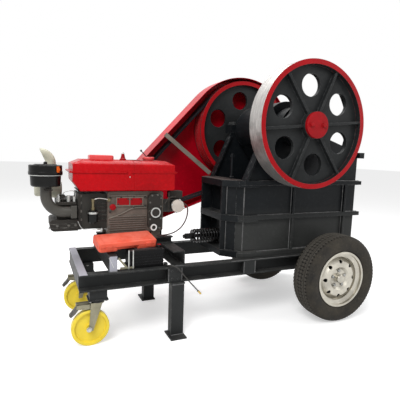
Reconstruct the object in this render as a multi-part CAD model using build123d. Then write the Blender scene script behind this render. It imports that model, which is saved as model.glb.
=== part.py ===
from build123d import *
import math
import os

# Running and seating clearances
running_clearance = 0.05
fit_clearance = 0.02
seat_gap = 0.3
safe_gap = 8.0
cut_overrun = 2.0

# Chassis of two outward channels
chassis_length = 1930.0
rail_top = 405.0
rail_height = 91.0
rail_outer = 302.0
rail_flange = 48.0
rail_web = 6.0
rail_flange_thickness = 8.0
stand_post_start = 482.0
crusher_post_start = 971.0
post_width = 79.0
end_beam_width = 41.0
end_plate_thickness = 3.0
front_beam_width = 50.0
beam_thickness = 6.0
crossbeam_height = 85.0
crossbeam_half_length = 285.0
left_crossbeam_start = 155.0
left_crossbeam_width = 42.0
right_crossbeam_start = 513.0
right_crossbeam_width = 71.0

# Stand legs
leg_start = 497.0
leg_width = 75.0
leg_outer = 318.0
leg_depth = 53.0
leg_wall = 4.0
leg_cap_thickness = 8.0
leg_cap_margin = 5.0
foot_thickness = 8.0
foot_start = 482.0
foot_length = 95.0
foot_outer = 368.0
foot_depth = 121.0

# Swivel casters
caster_x = 98.0
caster_y = 246.0
caster_plate_length = 104.0
caster_plate_width = 92.0
caster_plate_thickness = 6.0
caster_height = 262.0
caster_head_radius = 38.0
caster_head_height = 14.0
caster_fork_crown = 5.0
caster_blade_thickness = 4.0
caster_blade_width = 44.0
caster_trail = 37.0
caster_wheel_radius = 100.0
caster_wheel_width = 46.0
caster_tread_thickness = 16.0
caster_wheel_gap = 5.0
caster_axle_radius = 7.0
caster_hub_radius = 24.0
kingpin_radius = 9.0
caster_rim_web = 12.0
pedal_pivot_drop = 26.0
pedal_pivot_reach = 103.0
pedal_hub_radius = 8.0
pedal_pin_radius = 4.0
pedal_length = 62.0
pedal_width = 34.0
pedal_thickness = 5.0
pedal_slope = 49.0

# Road wheels
axle_x = 1577.0
tyre_radius = 280.5
tyre_width = 165.0
wheel_plane = 425.0
tyre_bead_radius = 170.0
tyre_wall = 10.0
tread_groove = 7.0
rim_radius = 165.0
rim_lip_radius = 179.0
rim_lip = 5.0
rim_half_width = 70.0
rim_well_radius = 146.0
rim_metal = 4.0
rim_vent_radius = 12.0
rim_vent_circle = 112.0
rim_vents = 8
rim_disc_offset = 38.0
rim_bolt_circle = 50.0
hub_radius = 72.0
hub_length = 60.0
hub_cap_radius = 27.0
hub_cap_length = 30.0
spindle_radius = 20.0
axle_tube = 60.0
axle_tube_half = 300.0
axle_pad_length = 120.0

# Crusher frame
crusher_rear = 871.0
crusher_front = 1923.0
body_rear = 950.0
body_front = 1889.0
wall_half = 240.0
wall_thickness = 20.0
flange_half = 263.0
flange_thickness = 26.0
bottom_flange_thickness = 32.0
rear_flange_thickness = 40.0
doubler_end = 1080.0
corner_chamfer = 74.0
middle_flange_top = 672.0
top_flange_top = 889.0
rib_thickness = 16.0
rib_middle_x = 1350.0
rib_end_x = 1787.0
front_wall_thickness = 30.0
front_wall_top = 1087.0
front_lip = 41.0
front_lip_height = 39.0
ear_rear_foot = 985.0
ear_rear_top_x = 1112.0
ear_rear_top_z = 1178.0
stiffener_width = 60.0
stiffener_thickness = 12.0

# Rotor
shaft_x = 1310.0
shaft_z = 1232.0
shaft_radius = 50.0
shaft_end_radius = 42.0
bearing_inner = 215.0
bearing_outer = 303.0
bearing_radius = 122.0
bearing_flange_half = 192.0
bearing_flange_drop = 28.0
bearing_flange_rise = 30.0
bearing_collar_radius = 84.0
bearing_collar = 9.0
bearing_bolt_radius = 11.0
bearing_bolt_reach = 160.0
flywheel_radius = 374.0
flywheel_inner_radius = 345.0
flywheel_face = 468.0
flywheel_width = 124.0
flywheel_web = 24.0
flywheel_web_recess = 34.0
flywheel_hub_radius = 80.0
flywheel_hole_radius = 66.5
flywheel_hole_circle = 232.0
flywheel_holes = 6
flywheel_hole_turn = 36.0
spoke_thickness = 15.0
spoke_recess = 8.0
pulley_inner_face = 348.0
pulley_hole_turn = 38.5
hub_plate_radius = 77.0
near_hub_plate = 18.0
far_hub_plate = 10.0
hub_bolt_radius = 9.0
hub_bolt_height = 7.0
hub_bolt_circle = 45.0

# Belt drive
crank_x = 455.0
crank_z = 691.0
small_pulley_radius = 114.0
belt_count = 4
belt_pitch = 26.0
belt_top_width = 22.0
belt_bottom_width = 13.0
belt_height = 14.0
belt_sink = 2.0
belt_clearance = 0.6
groove_depth = 18.0

# Belt guard
guard_inner_y = 330.0
guard_outer_y = 495.0
guard_sheet = 3.0
guard_big_radius = 390.0
guard_small_radius = 174.0
guard_crown_shift = 70.0
guard_crown_angle = 69.0
brace_width = 30.0
brace_thickness = 6.0
brace_top_x = 654.0
brace_top_z = 1175.0
brace_foot_x = 984.0
brace_foot_z = 905.0
guard_foot_width = 50.0
guard_foot_thickness = 8.0
guard_foot_y = 446.0

# Jaws and toggle
jaw_plate_thickness = 45.0
jaw_tooth_pitch = 50.0
jaw_tooth_depth = 18.0
cheek_thickness = 12.0
gape = 250.0
discharge_gap = 50.0
chamber_top = 1065.0
chamber_bottom = 455.0
jaw_casting_thickness = 70.0
jaw_half_width = 190.0
barrel_radius = 165.0
barrel_bore_clearance = 0.1
jaw_rib_thickness = 45.0
toggle_seat_x = 1560.0
toggle_seat_z = 560.0
toggle_thickness = 30.0
toggle_half_width = 160.0
toggle_block_front = 1085.0
toggle_block_height = 120.0
toggle_block_z = 590.0
tension_rod_radius = 12.0
tension_rod_z = 507.0
tension_rod_start = 682.0
spring_start = 752.0
spring_coil_radius = 33.0
spring_wire_radius = 6.0
spring_turns = 9
spring_washer_radius = 42.0
spring_washer_thickness = 8.0
rear_stud_x = 1000.0
rear_stud_y = -40.0
rear_stud_radius = 9.0
rear_stud_height = 165.0
rear_nut_radius = 16.0
rear_nut_height = 14.0

# Engine
engine_rail_height = 40.0
engine_rail_width = 40.0
engine_rail_near = -80.0
engine_rail_far = 150.0
block_start = 180.0
block_end = 512.0
block_near = -85.0
block_far = 178.0
block_top = 815.0
block_bottom = 572.0
block_rounding = 14.0
cylinder_start = 20.0
cylinder_near = -62.0
cylinder_far = 150.0
cylinder_bottom = 600.0
head_start = -92.0
head_bottom = 590.0
head_top = 770.0
rocker_cover_start = -128.0
rocker_cover_bottom = 580.0
rocker_cover_top = 655.0
gear_cover_start = 414.0
gear_cover_thickness = 26.0
crank_bush_radius = 32.0
crank_bush_bore = 18.0
crank_bush_length = 12.0
oil_filler_radius = 20.0
oil_filler_x = 444.0
oil_filler_z = 603.0
fin_height = 7.0
fin_thickness = 5.0
fin_spacing = 13.0
fin_count = 7
fin_bottom = 588.0
fin_start = 190.0
fin_end = 405.0
tank_start = -23.0
tank_end = 573.0
tank_near = -112.0
tank_far = 150.0
tank_bottom = 820.0
tank_seam = 926.0
tank_top = 974.0
tank_corner = 34.0
tank_lip = 6.0
tank_lip_height = 9.0
radiator_cap_x = 152.0
radiator_cap_length = 134.0
radiator_cap_width = 96.0
radiator_cap_height = 26.0
fuel_cap_x = 433.0
fuel_cap_radius = 37.0
fuel_cap_height = 24.0
cap_y = -20.0
air_cleaner_x = -145.0
air_cleaner_y = -80.0
air_cleaner_radius = 84.0
air_cleaner_bottom = 848.0
air_cleaner_band = 912.0
air_cleaner_top = 961.0
intake_radius = 29.0
intake_bend = 90.0
intake_port_x = 0.0
intake_port_z = 706.0
intake_flange = 10.0
muffler_start = -202.0
muffler_end = -56.0
muffler_y = 62.0
muffler_z = 822.0
muffler_radius = 45.0
tailpipe_x = -84.0
tailpipe_radius = 28.0
tailpipe_wall = 3.0
tailpipe_bend = 68.0
tailpipe_bend_z = 968.0
dynamo_x = 600.0
dynamo_z = 724.0
dynamo_face = -112.0
dynamo_length = 110.0
dynamo_radius = 39.0
dynamo_bracket = 10.0
filter_x = 97.0
filter_y = -98.0
filter_bottom = 640.0
filter_height = 66.0
filter_radius = 28.0
flywheel_disc_radius = 158.0
flywheel_disc_start = 196.0
flywheel_disc_width = 70.0
crank_radius = 24.0

# Battery and tool case
battery_start = 269.0
battery_length = 197.0
battery_near = -264.0
battery_depth = 132.0
battery_height = 100.0
battery_lid = 22.0
battery_post_radius = 8.0
battery_post_height = 15.0
battery_cap_radius = 13.0
tray_thickness = 6.0
tray_margin = 10.0
case_start = 72.0
case_length = 345.0
case_depth = 175.0
case_thickness = 46.0
case_tilt = 15.0
case_rounding = 12.0
case_overhang = 12.0

# Loose starting cable
cable_radius = 3.5
cable_end_radius = 6.0
cable_end_length = 26.0
cable_clip_width = 16.0
cable_clip_length = 24.0

rail_bottom = rail_top - rail_height
stiffener_reach = wall_half - 2 * wall_thickness + stiffener_width
rail_inner = rail_outer - rail_flange - rail_web
wall_inner = wall_half - wall_thickness
axle_z = tyre_radius


def block(x0, x1, y0, y1, z0, z1):
    """Square block between two corners."""
    place = Pos((x0 + x1) / 2, (y0 + y1) / 2, (z0 + z1) / 2)
    return place * Box(x1 - x0, y1 - y0, z1 - z0)


def bar_x(radius, x0, x1, y, z):
    """Round bar along X."""
    return Pos((x0 + x1) / 2, y, z) * Rot(0, 90, 0) * Cylinder(radius, x1 - x0)


def bar_y(radius, x, y0, y1, z):
    """Round bar along Y."""
    return Pos(x, (y0 + y1) / 2, z) * Rot(90, 0, 0) * Cylinder(radius, y1 - y0)


def bar_z(radius, x, y, z0, z1):
    """Round bar along Z."""
    return Pos(x, y, (z0 + z1) / 2) * Cylinder(radius, z1 - z0)


def turned_y(profile, x, z):
    """Solid turned about a line along Y, from (radius, y) points."""
    face = make_face(Polyline(*profile, close=True))
    return Pos(x, 0, z) * revolve(face, Axis.Y)


def turned_z(profile, x, y):
    """Solid turned about an upright line, from (radius, z) points."""
    face = Plane.XZ * make_face(Polyline(*profile, close=True))
    return Pos(x, y, 0) * revolve(face, Axis.Z)


def plate_xz(points, y0, y1):
    """Plate with an (x, z) outline, between two values of Y."""
    face = Plane.XZ * make_face(Polyline(*points, close=True))
    return Pos(0, y0, 0) * extrude(face, amount=y0 - y1)


def prism_yz(points, x0, x1):
    """Bar along X with a (y, z) section."""
    face = Plane.YZ * make_face(Polyline(*points, close=True))
    return Pos(x0, 0, 0) * extrude(face, amount=x1 - x0)


def far_side(part):
    """The same piece on the other side of the machine."""
    return mirror(part, Plane.XZ)


def near_rail():
    """Channel open to the outside, with flat posts welded in its mouth."""
    web = -rail_inner - rail_web
    section = [
        (-rail_inner, rail_bottom),
        (-rail_inner, rail_top),
        (-rail_outer, rail_top),
        (-rail_outer, rail_top - rail_flange_thickness),
        (web, rail_top - rail_flange_thickness),
        (web, rail_bottom + rail_flange_thickness),
        (-rail_outer, rail_bottom + rail_flange_thickness),
        (-rail_outer, rail_bottom),
    ]
    rail = prism_yz(section, 0, chassis_length)
    for start in (stand_post_start, crusher_post_start):
        rail += block(start, start + post_width, -rail_outer, web, rail_bottom, rail_top)
    return rail


def end_crossmember():
    """Channel between the rails at the engine end, with a flat plate over its top."""
    inner = [
        (beam_thickness, rail_bottom + beam_thickness),
        (end_beam_width, rail_bottom + beam_thickness),
        (end_beam_width, rail_bottom),
        (0, rail_bottom),
        (0, rail_top),
        (end_beam_width, rail_top),
        (end_beam_width, rail_top - beam_thickness),
        (beam_thickness, rail_top - beam_thickness),
    ]
    beam = plate_xz(inner, -rail_inner, rail_inner)
    top = rail_top + end_plate_thickness
    return beam + block(0, end_beam_width, -rail_outer, rail_outer, rail_top, top)


def front_crossmember():
    """Channel between the rails under the crusher's front."""
    start = chassis_length - front_beam_width
    beam = block(start, chassis_length, -rail_inner, rail_inner, rail_bottom, rail_top)
    mouth = block(
        start - cut_overrun,
        chassis_length - beam_thickness,
        -rail_inner,
        rail_inner,
        rail_bottom + beam_thickness,
        rail_top - beam_thickness,
    )
    return beam - mouth


def left_crossbeam():
    """Channel on the rails under the cylinder end, with a closing plate at each end."""
    end = left_crossbeam_start + left_crossbeam_width
    top = rail_top + crossbeam_height
    half = crossbeam_half_length
    beam = block(left_crossbeam_start, end, -half, half, rail_top, top)
    mouth = block(
        left_crossbeam_start + beam_thickness,
        end + cut_overrun,
        beam_thickness - half,
        half - beam_thickness,
        rail_top + beam_thickness,
        top - beam_thickness,
    )
    return beam - mouth


def right_crossbeam():
    """Wide channel on the rails under the crank end, open towards the cylinder."""
    end = right_crossbeam_start + right_crossbeam_width
    top = rail_top + crossbeam_height
    half = crossbeam_half_length
    beam = block(right_crossbeam_start, end, -half, half, rail_top, top)
    mouth = block(
        right_crossbeam_start - cut_overrun,
        end - beam_thickness,
        -half,
        half,
        rail_top + beam_thickness,
        top - beam_thickness,
    )
    return beam - mouth


def near_stand_leg():
    """Square tube with a cap plate under the rail and a foot plate on the ground."""
    tube_top = rail_bottom - leg_cap_thickness
    inner = leg_depth - leg_outer
    leg = block(leg_start, leg_start + leg_width, -leg_outer, inner, foot_thickness, tube_top)
    leg -= block(
        leg_start + leg_wall,
        leg_start + leg_width - leg_wall,
        leg_wall - leg_outer,
        inner - leg_wall,
        foot_thickness,
        tube_top,
    )
    leg += block(
        leg_start - leg_cap_margin,
        leg_start + leg_width + leg_cap_margin,
        -leg_outer,
        inner,
        tube_top,
        rail_bottom,
    )
    foot_end = foot_start + foot_length
    leg += block(foot_start, foot_end, -foot_outer, foot_depth - foot_outer, 0, foot_thickness)
    return leg


def near_caster_mount():
    """Spacer block welded under the rail, with the caster's fixed plate and head."""
    half_length = caster_plate_length / 2
    half_width = caster_plate_width / 2
    y = -caster_y
    under = caster_height - caster_plate_thickness
    rim = caster_plate_thickness
    mount = block(
        caster_x - half_length + rim,
        caster_x + half_length - rim,
        y - half_width + rim,
        y + half_width - rim,
        caster_height,
        rail_bottom,
    )
    mount += block(
        caster_x - half_length,
        caster_x + half_length,
        y - half_width,
        y + half_width,
        under,
        caster_height,
    )
    mount += bar_z(caster_head_radius, caster_x, y, under - caster_head_height, under)
    pin_bottom = under - caster_head_height - caster_fork_crown - caster_head_height
    mount += bar_z(kingpin_radius, caster_x, y, pin_bottom, under - caster_head_height)
    return mount


caster_axle_x = caster_x - caster_trail
caster_axle_z = caster_wheel_radius
crown_top = caster_height - caster_plate_thickness - caster_head_height - running_clearance
crown_bottom = crown_top - caster_fork_crown
pedal_x = caster_x - pedal_pivot_reach
pedal_z = caster_height - pedal_pivot_drop - caster_head_height


def near_caster_fork():
    """Pressed fork with two leaning blades, the wheel's bolt and the brake's ears."""
    y = -caster_y
    inner = caster_wheel_width / 2 + caster_wheel_gap
    outer = inner + caster_blade_thickness
    half = caster_blade_width / 2
    crown = bar_z(caster_head_radius, caster_x, y, crown_bottom, crown_top)
    crown += block(
        caster_x - caster_head_radius,
        caster_x + half,
        y - outer,
        y + outer,
        crown_bottom,
        crown_top,
    )
    crown += block(
        pedal_x - pedal_hub_radius,
        caster_x,
        y - half / 2,
        y + half / 2,
        crown_bottom,
        crown_top,
    )
    fork = crown - bar_z(
        kingpin_radius + running_clearance,
        caster_x,
        y,
        crown_bottom - cut_overrun,
        crown_top + cut_overrun,
    )
    blade = [
        (caster_x - caster_head_radius, crown_bottom),
        (caster_x + half, crown_bottom),
        (caster_axle_x + half / 2, caster_axle_z - half / 2),
        (caster_axle_x - half / 2, caster_axle_z - half / 2),
    ]
    for side in (-1, 1):
        low = y + side * inner
        high = y + side * outer
        fork += plate_xz(blade, min(low, high), max(low, high))
    bolt_reach = outer + caster_blade_thickness
    fork += bar_y(caster_axle_radius, caster_axle_x, y - bolt_reach, y + bolt_reach, caster_axle_z)
    ear = [
        (pedal_x - pedal_hub_radius, crown_bottom),
        (pedal_x + pedal_hub_radius, crown_bottom),
        (pedal_x + pedal_hub_radius, pedal_z - pedal_hub_radius),
        (pedal_x - pedal_hub_radius, pedal_z - pedal_hub_radius),
    ]
    ear_start = half / 2 - caster_blade_thickness
    for side in (-1, 1):
        low = y + side * ear_start
        high = y + side * half / 2
        fork += plate_xz(ear, min(low, high), max(low, high))
    fork += bar_y(pedal_pin_radius, pedal_x, y - half / 2, y + half / 2, pedal_z)
    return fork


def near_caster_wheel():
    """Cast wheel with a raised tread, dished sides and a hub bored for its bolt."""
    half = caster_wheel_width / 2
    web = caster_rim_web / 2
    rim = caster_wheel_radius - caster_tread_thickness
    rounding = caster_tread_thickness / 4
    profile = [
        (caster_axle_radius + running_clearance, -half),
        (caster_hub_radius, -half),
        (caster_hub_radius, -web),
        (rim - rounding, -web),
        (rim, rounding - half),
        (caster_wheel_radius - rounding, rounding - half),
        (caster_wheel_radius, 2 * rounding - half),
        (caster_wheel_radius, half - 2 * rounding),
        (caster_wheel_radius - rounding, half - rounding),
        (rim, half - rounding),
        (rim - rounding, web),
        (caster_hub_radius, web),
        (caster_hub_radius, half),
        (caster_axle_radius + running_clearance, half),
    ]
    return Pos(0, -caster_y, 0) * turned_y(profile, caster_axle_x, caster_axle_z)


def near_caster_pedal():
    """Brake pedal on its pin, a bent plate with a raised toe."""
    y = -caster_y
    hub_half = caster_blade_width / 4 - caster_blade_thickness - seat_gap
    hub = bar_y(pedal_hub_radius - seat_gap * 2, pedal_x, y - hub_half, y + hub_half, pedal_z)
    half = pedal_thickness / 2
    arm = Pos(-pedal_length / 2, 0, 0) * Box(pedal_length, 2 * hub_half, pedal_thickness)
    toe_length = pedal_length / 2
    toe = Pos(-pedal_length + toe_length / 2, 0, half) * Box(toe_length, pedal_width, pedal_thickness)
    arm = Pos(pedal_x, y, pedal_z) * Rot(0, -pedal_slope, 0) * (arm + toe)
    pedal = hub + arm
    return pedal - bar_y(
        pedal_pin_radius + running_clearance,
        pedal_x,
        y - caster_blade_width,
        y + caster_blade_width,
        pedal_z,
    )


def axle():
    """Square tube under the rails with a round spindle at each end."""
    half = axle_tube / 2
    beam = block(axle_x - half, axle_x + half, -axle_tube_half, axle_tube_half, axle_z - half, axle_z + half)
    pad_half = axle_pad_length / 2
    for side in (-1, 1):
        y = side * (rail_inner + rail_outer) / 2
        depth = (rail_outer - rail_inner) / 2
        pad = block(axle_x - pad_half, axle_x + pad_half, y - depth, y + depth, axle_z + half, rail_bottom)
        beam += pad
    reach = wheel_plane + rim_disc_offset + hub_cap_length / 3
    beam += bar_y(spindle_radius, axle_x, -reach, reach, axle_z)
    return beam


def near_tyre():
    """Radial tyre, open to the rim, with three grooves round its tread."""
    half = tyre_width / 2
    bead_half = rim_half_width - rim_lip - fit_clearance
    shoulder = tyre_radius - tyre_wall
    crown = tyre_radius
    groove_half = tread_groove / 2
    outer = [
        (tyre_bead_radius, bead_half),
        (rim_lip_radius + tyre_wall / 2, bead_half),
        ((rim_lip_radius + tyre_radius) / 2, half),
        (shoulder - tyre_wall, half - tyre_wall / 4),
        (shoulder, half - tyre_wall),
        (crown - tread_groove / 4, half - 2 * tyre_wall),
    ]
    tread = []
    for share in (1, 0, -1):
        centre = share * half / 2
        tread += [
            (crown, centre + groove_half),
            (crown - tread_groove, centre + groove_half),
            (crown - tread_groove, centre - groove_half),
            (crown, centre - groove_half),
        ]
    inner_half = half - tyre_wall
    inner = [
        (tyre_bead_radius, -bead_half + tyre_wall),
        ((rim_lip_radius + tyre_radius) / 2, -inner_half),
        (shoulder - 2 * tyre_wall, tyre_wall - inner_half),
        (shoulder - tyre_wall, 2 * tyre_wall - inner_half),
        (shoulder - tyre_wall, inner_half - 2 * tyre_wall),
        (shoulder - 2 * tyre_wall, inner_half - tyre_wall),
        ((rim_lip_radius + tyre_radius) / 2, inner_half),
        (tyre_bead_radius, bead_half - tyre_wall),
    ]
    lower = [(radius, -y) for radius, y in reversed(outer)]
    tyre = turned_y(outer + tread + lower + inner, axle_x, axle_z)
    return Pos(0, -wheel_plane, 0) * tyre


def near_hub():
    """Wheel hub on the spindle, with its bearing boss and grease cap."""
    face = -wheel_plane - rim_disc_offset + rim_metal / 2
    boss = spindle_radius + hub_cap_radius / 2 - fit_clearance
    spigot = face - rim_metal * 2
    cap_end = face - hub_cap_length
    bore_end = -wheel_plane - rim_disc_offset - hub_cap_length / 3 - running_clearance
    bore = spindle_radius + running_clearance
    profile = [
        (bore, face + hub_length),
        (boss, face + hub_length),
        (boss, face + rim_metal * 3),
        (hub_radius, face + rim_metal * 3),
        (hub_radius, face),
        (boss, face),
        (boss, spigot),
        (hub_cap_radius, spigot),
        (hub_cap_radius, cap_end + rim_metal),
        (hub_cap_radius - rim_metal, cap_end),
        (0, cap_end),
        (0, bore_end),
        (bore, bore_end),
    ]
    return turned_y(profile, axle_x, axle_z)


def near_rim():
    """Pressed steel wheel: barrel, dished disc with round vents, centre bore and bolts."""
    seat = tyre_bead_radius - fit_clearance
    edge = rim_half_width
    metal = rim_metal
    well = rim_well_radius
    barrel = [
        (rim_lip_radius, -edge),
        (rim_lip_radius, metal - edge),
        (seat, rim_lip - edge),
        (seat, rim_lip * 4 - edge),
        (well, rim_lip * 6 - edge),
        (well, edge - rim_lip * 6),
        (seat, edge - rim_lip * 4),
        (seat, edge - rim_lip),
        (rim_lip_radius, edge - metal),
        (rim_lip_radius, edge),
        (seat - metal, edge),
        (seat - metal, edge - rim_lip * 4 + metal),
        (well - metal, edge - rim_lip * 6 + metal),
        (well - metal, rim_lip * 6 - edge - metal),
        (seat - metal, rim_lip * 4 - edge - metal),
        (seat - metal, -edge),
    ]
    face = -rim_disc_offset
    crown = face - rim_lip * 3
    disc = [
        (spindle_radius + hub_cap_radius / 2, face),
        (rim_bolt_circle + rim_lip * 2, face),
        (rim_bolt_circle + rim_lip * 5, crown),
        (rim_vent_circle, crown),
        (well - metal * 2, face + rim_lip * 2),
        (well, face + rim_lip * 2),
        (well, face + rim_lip * 2 + metal),
        (well - metal * 3, face + rim_lip * 2 + metal),
        (rim_vent_circle - metal, crown + metal),
        (rim_bolt_circle + rim_lip * 5 + metal, crown + metal),
        (rim_bolt_circle + rim_lip * 2 + metal, face + metal),
        (spindle_radius + hub_cap_radius / 2, face + metal),
    ]
    wheel = turned_y(barrel, axle_x, axle_z) + turned_y(disc, axle_x, axle_z)
    for number in range(rim_vents):
        turn = math.radians(360 * number / rim_vents)
        x = axle_x + rim_vent_circle * math.cos(turn)
        z = axle_z + rim_vent_circle * math.sin(turn)
        wheel -= bar_y(rim_vent_radius, x, -edge, 0, z)
    return Pos(0, -wheel_plane, 0) * wheel + near_hub()


def flange_strip(top, thickness, y_inner, y_outer):
    """Side flange with the rear corner cut at a slant."""
    outline = [
        (body_rear, -y_inner),
        (crusher_rear, -y_inner),
        (crusher_rear, corner_chamfer - y_outer),
        (crusher_rear + corner_chamfer, -y_outer),
        (crusher_front, -y_outer),
        (crusher_front, -y_inner),
    ]
    face = make_face(Polyline(*outline, close=True))
    return Pos(0, 0, top - thickness) * extrude(face, amount=thickness)


def near_side_frame():
    """Side plate with three flanges, ribs, the sloped ear and the bearing's seat."""
    seat_top = shaft_z - bearing_flange_drop
    outline = [
        (body_rear, rail_top),
        (body_front, rail_top),
        (body_front, front_wall_top),
        (shaft_x + bearing_flange_half, seat_top),
        (shaft_x - bearing_flange_half, seat_top),
        (ear_rear_top_x, ear_rear_top_z),
        (ear_rear_foot, top_flange_top),
        (body_rear, top_flange_top),
    ]
    frame = plate_xz(outline, -wall_half, -wall_inner)
    levels = (
        (rail_top + bottom_flange_thickness, bottom_flange_thickness),
        (middle_flange_top, flange_thickness),
        (top_flange_top, flange_thickness),
    )
    for top, thickness in levels:
        frame += flange_strip(top, thickness, wall_half, flange_half)
        doubler = flange_strip(top, rear_flange_thickness, wall_half, flange_half)
        doubler &= block(crusher_rear, doubler_end, -flange_half, -wall_half, rail_top, top)
        frame += doubler
    rib_half = rib_thickness / 2
    for x in (rib_middle_x, rib_end_x):
        frame += block(x - rib_half, x + rib_half, -flange_half, -wall_half, rail_top, top_flange_top)
    corner = crusher_rear + corner_chamfer
    frame += block(corner, corner + rib_thickness, -flange_half, -wall_half, rail_top, top_flange_top)
    slope = math.atan2(ear_rear_top_z - top_flange_top, ear_rear_top_x - ear_rear_foot)
    shift_x = stiffener_thickness / math.sin(slope)
    bar = [
        (ear_rear_foot, top_flange_top),
        (ear_rear_top_x, ear_rear_top_z),
        (ear_rear_top_x - shift_x, ear_rear_top_z),
        (ear_rear_foot - shift_x, top_flange_top),
    ]
    frame += plate_xz(bar, -stiffener_reach, -wall_inner)
    seat = bar_y(bearing_radius + fit_clearance, shaft_x, -wall_half - cut_overrun, 0, shaft_z)
    return frame - seat


def rear_stud():
    """Threaded stud standing on the rear deck, with a nut at its foot and head."""
    top = top_flange_top + rear_stud_height
    stud = bar_z(rear_stud_radius, rear_stud_x, rear_stud_y, top_flange_top, top)
    nut = rear_nut_height
    stud += bar_z(rear_nut_radius, rear_stud_x, rear_stud_y, top_flange_top, top_flange_top + nut)
    stud += bar_z(rear_nut_radius, rear_stud_x, rear_stud_y, top - nut * 1.5, top - nut * 0.5)
    return stud


def rear_wall():
    """Rear plate with its flanges, upright ribs and a hole for the tension rod."""
    inner = wall_inner
    wall = block(body_rear, body_rear + wall_thickness, -inner, inner, rail_top, top_flange_top)
    tops = (rail_top + bottom_flange_thickness, middle_flange_top, top_flange_top)
    for top in tops:
        wall += block(
            crusher_rear,
            body_rear,
            -inner,
            inner,
            top - rear_flange_thickness if top > tops[0] else rail_top,
            top,
        )
    rib_y = flange_half - corner_chamfer
    for side in (-1, 1):
        y = side * (rib_y - rib_thickness / 2)
        low = y - rib_thickness / 2
        wall += block(crusher_rear, body_rear, low, low + rib_thickness, rail_top, top_flange_top)
    ear_width = wall_inner - cheek_thickness
    deck_end = ear_rear_foot + wall_thickness
    wall += block(
        body_rear,
        deck_end,
        -ear_width,
        ear_width,
        top_flange_top - flange_thickness,
        top_flange_top,
    )
    wall += rear_stud()
    hole = bar_x(
        tension_rod_radius * 2,
        crusher_rear,
        body_rear + wall_thickness + cut_overrun,
        0,
        tension_rod_z,
    )
    return wall - hole


def front_wall():
    """Front plate with an outward lip along its top and three flanges outside."""
    start = body_front - front_wall_thickness
    inner = wall_inner
    wall = block(start, body_front, -inner, inner, rail_top, front_wall_top)
    lip_bottom = front_wall_top - front_lip_height
    wall += block(body_front, body_front + front_lip, -flange_half, flange_half, lip_bottom, front_wall_top)
    levels = (
        (rail_top, rail_top + bottom_flange_thickness),
        (middle_flange_top - flange_thickness, middle_flange_top),
        (top_flange_top - flange_thickness, top_flange_top),
    )
    for low, high in levels:
        wall += block(body_front, crusher_front, -wall_half, wall_half, low, high)
    return wall


chamber_front = body_front - front_wall_thickness
fixed_face = chamber_front - jaw_plate_thickness
moving_top_x = fixed_face - gape
moving_bottom_x = fixed_face - discharge_gap
face_angle = math.atan2(chamber_top - chamber_bottom, moving_bottom_x - moving_top_x)
face_run = math.hypot(chamber_top - chamber_bottom, moving_bottom_x - moving_top_x)
normal_x = math.sin(face_angle)
normal_z = math.cos(face_angle)


def toothed_bar(length, width, thickness, pitch, depth):
    """Jaw plate lying along X, its teeth running along X on the +Z side."""
    half = width / 2
    teeth = int((width - pitch / 2) // pitch)
    side = (width - teeth * pitch) / 2
    root = thickness - depth
    points = [(-half, 0), (-half, root), (side - half, root)]
    for number in range(teeth):
        start = side - half + number * pitch
        points += [
            (start + pitch * 0.18, root),
            (start + pitch * 0.42, thickness),
            (start + pitch * 0.58, thickness),
            (start + pitch * 0.82, root),
        ]
    points += [(half - side, root), (half, root), (half, 0)]
    face = Plane.YZ * make_face(Polyline(*points, close=True))
    return extrude(face, amount=length)


def fixed_jaw_plate():
    """Toothed plate standing against the front wall."""
    width = 2 * (wall_inner - cheek_thickness - seat_gap)
    plate = toothed_bar(
        chamber_top - chamber_bottom,
        width,
        jaw_plate_thickness - seat_gap,
        jaw_tooth_pitch,
        jaw_tooth_depth,
    )
    return Pos(chamber_front - seat_gap, 0, chamber_bottom) * Rot(0, -90, 0) * plate


def moving_jaw_plate():
    """Toothed plate on the swing jaw's leaning face."""
    width = 2 * (wall_inner - cheek_thickness - safe_gap)
    thickness = jaw_plate_thickness - seat_gap
    plate = toothed_bar(face_run, width, thickness, jaw_tooth_pitch, jaw_tooth_depth)
    back_x = moving_top_x - thickness * normal_x
    back_z = chamber_top - thickness * normal_z
    return Pos(back_x, 0, back_z) * Rot(0, math.degrees(face_angle), 0) * plate


def swing_jaw():
    """Swing jaw: bearing barrel, leaning front slab and three ribs down its back."""
    depth = jaw_plate_thickness
    front_top = (moving_top_x - depth * normal_x, chamber_top - depth * normal_z)
    front_low = (moving_bottom_x - depth * normal_x, chamber_bottom - depth * normal_z)
    slab = jaw_casting_thickness
    back_low = (front_low[0] - slab * normal_x, front_low[1] - slab * normal_z)
    outline = [
        front_top,
        front_low,
        back_low,
        (toggle_seat_x, tension_rod_z - 2 * tension_rod_radius),
        (toggle_seat_x, toggle_seat_z + toggle_thickness),
        (shaft_x - barrel_radius * 0.6, shaft_z - barrel_radius * 0.8),
        (shaft_x, shaft_z),
        (shaft_x + barrel_radius * 0.3, shaft_z + barrel_radius * 0.95),
    ]
    jaw = plate_xz(outline, -jaw_half_width, jaw_half_width)
    jaw += bar_y(barrel_radius, shaft_x, -jaw_half_width, jaw_half_width, shaft_z)
    back_top = (front_top[0] - slab * normal_x, front_top[1] - slab * normal_z)
    pocket = [
        (back_top[0], shaft_z - barrel_radius - slab),
        (back_low[0] - slab * 0.4, toggle_seat_z + toggle_thickness * 2),
        (toggle_seat_x - slab, toggle_seat_z + toggle_thickness * 2),
        (shaft_x - barrel_radius, shaft_z - barrel_radius),
    ]
    pocket_half = (jaw_half_width - 1.5 * jaw_rib_thickness) / 2
    for side in (-1, 1):
        centre = side * (jaw_rib_thickness / 2 + pocket_half)
        jaw -= plate_xz(pocket, centre - pocket_half, centre + pocket_half)
    bore = shaft_radius + barrel_bore_clearance
    jaw -= bar_y(bore, shaft_x, -jaw_half_width, jaw_half_width, shaft_z)
    return jaw


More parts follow.
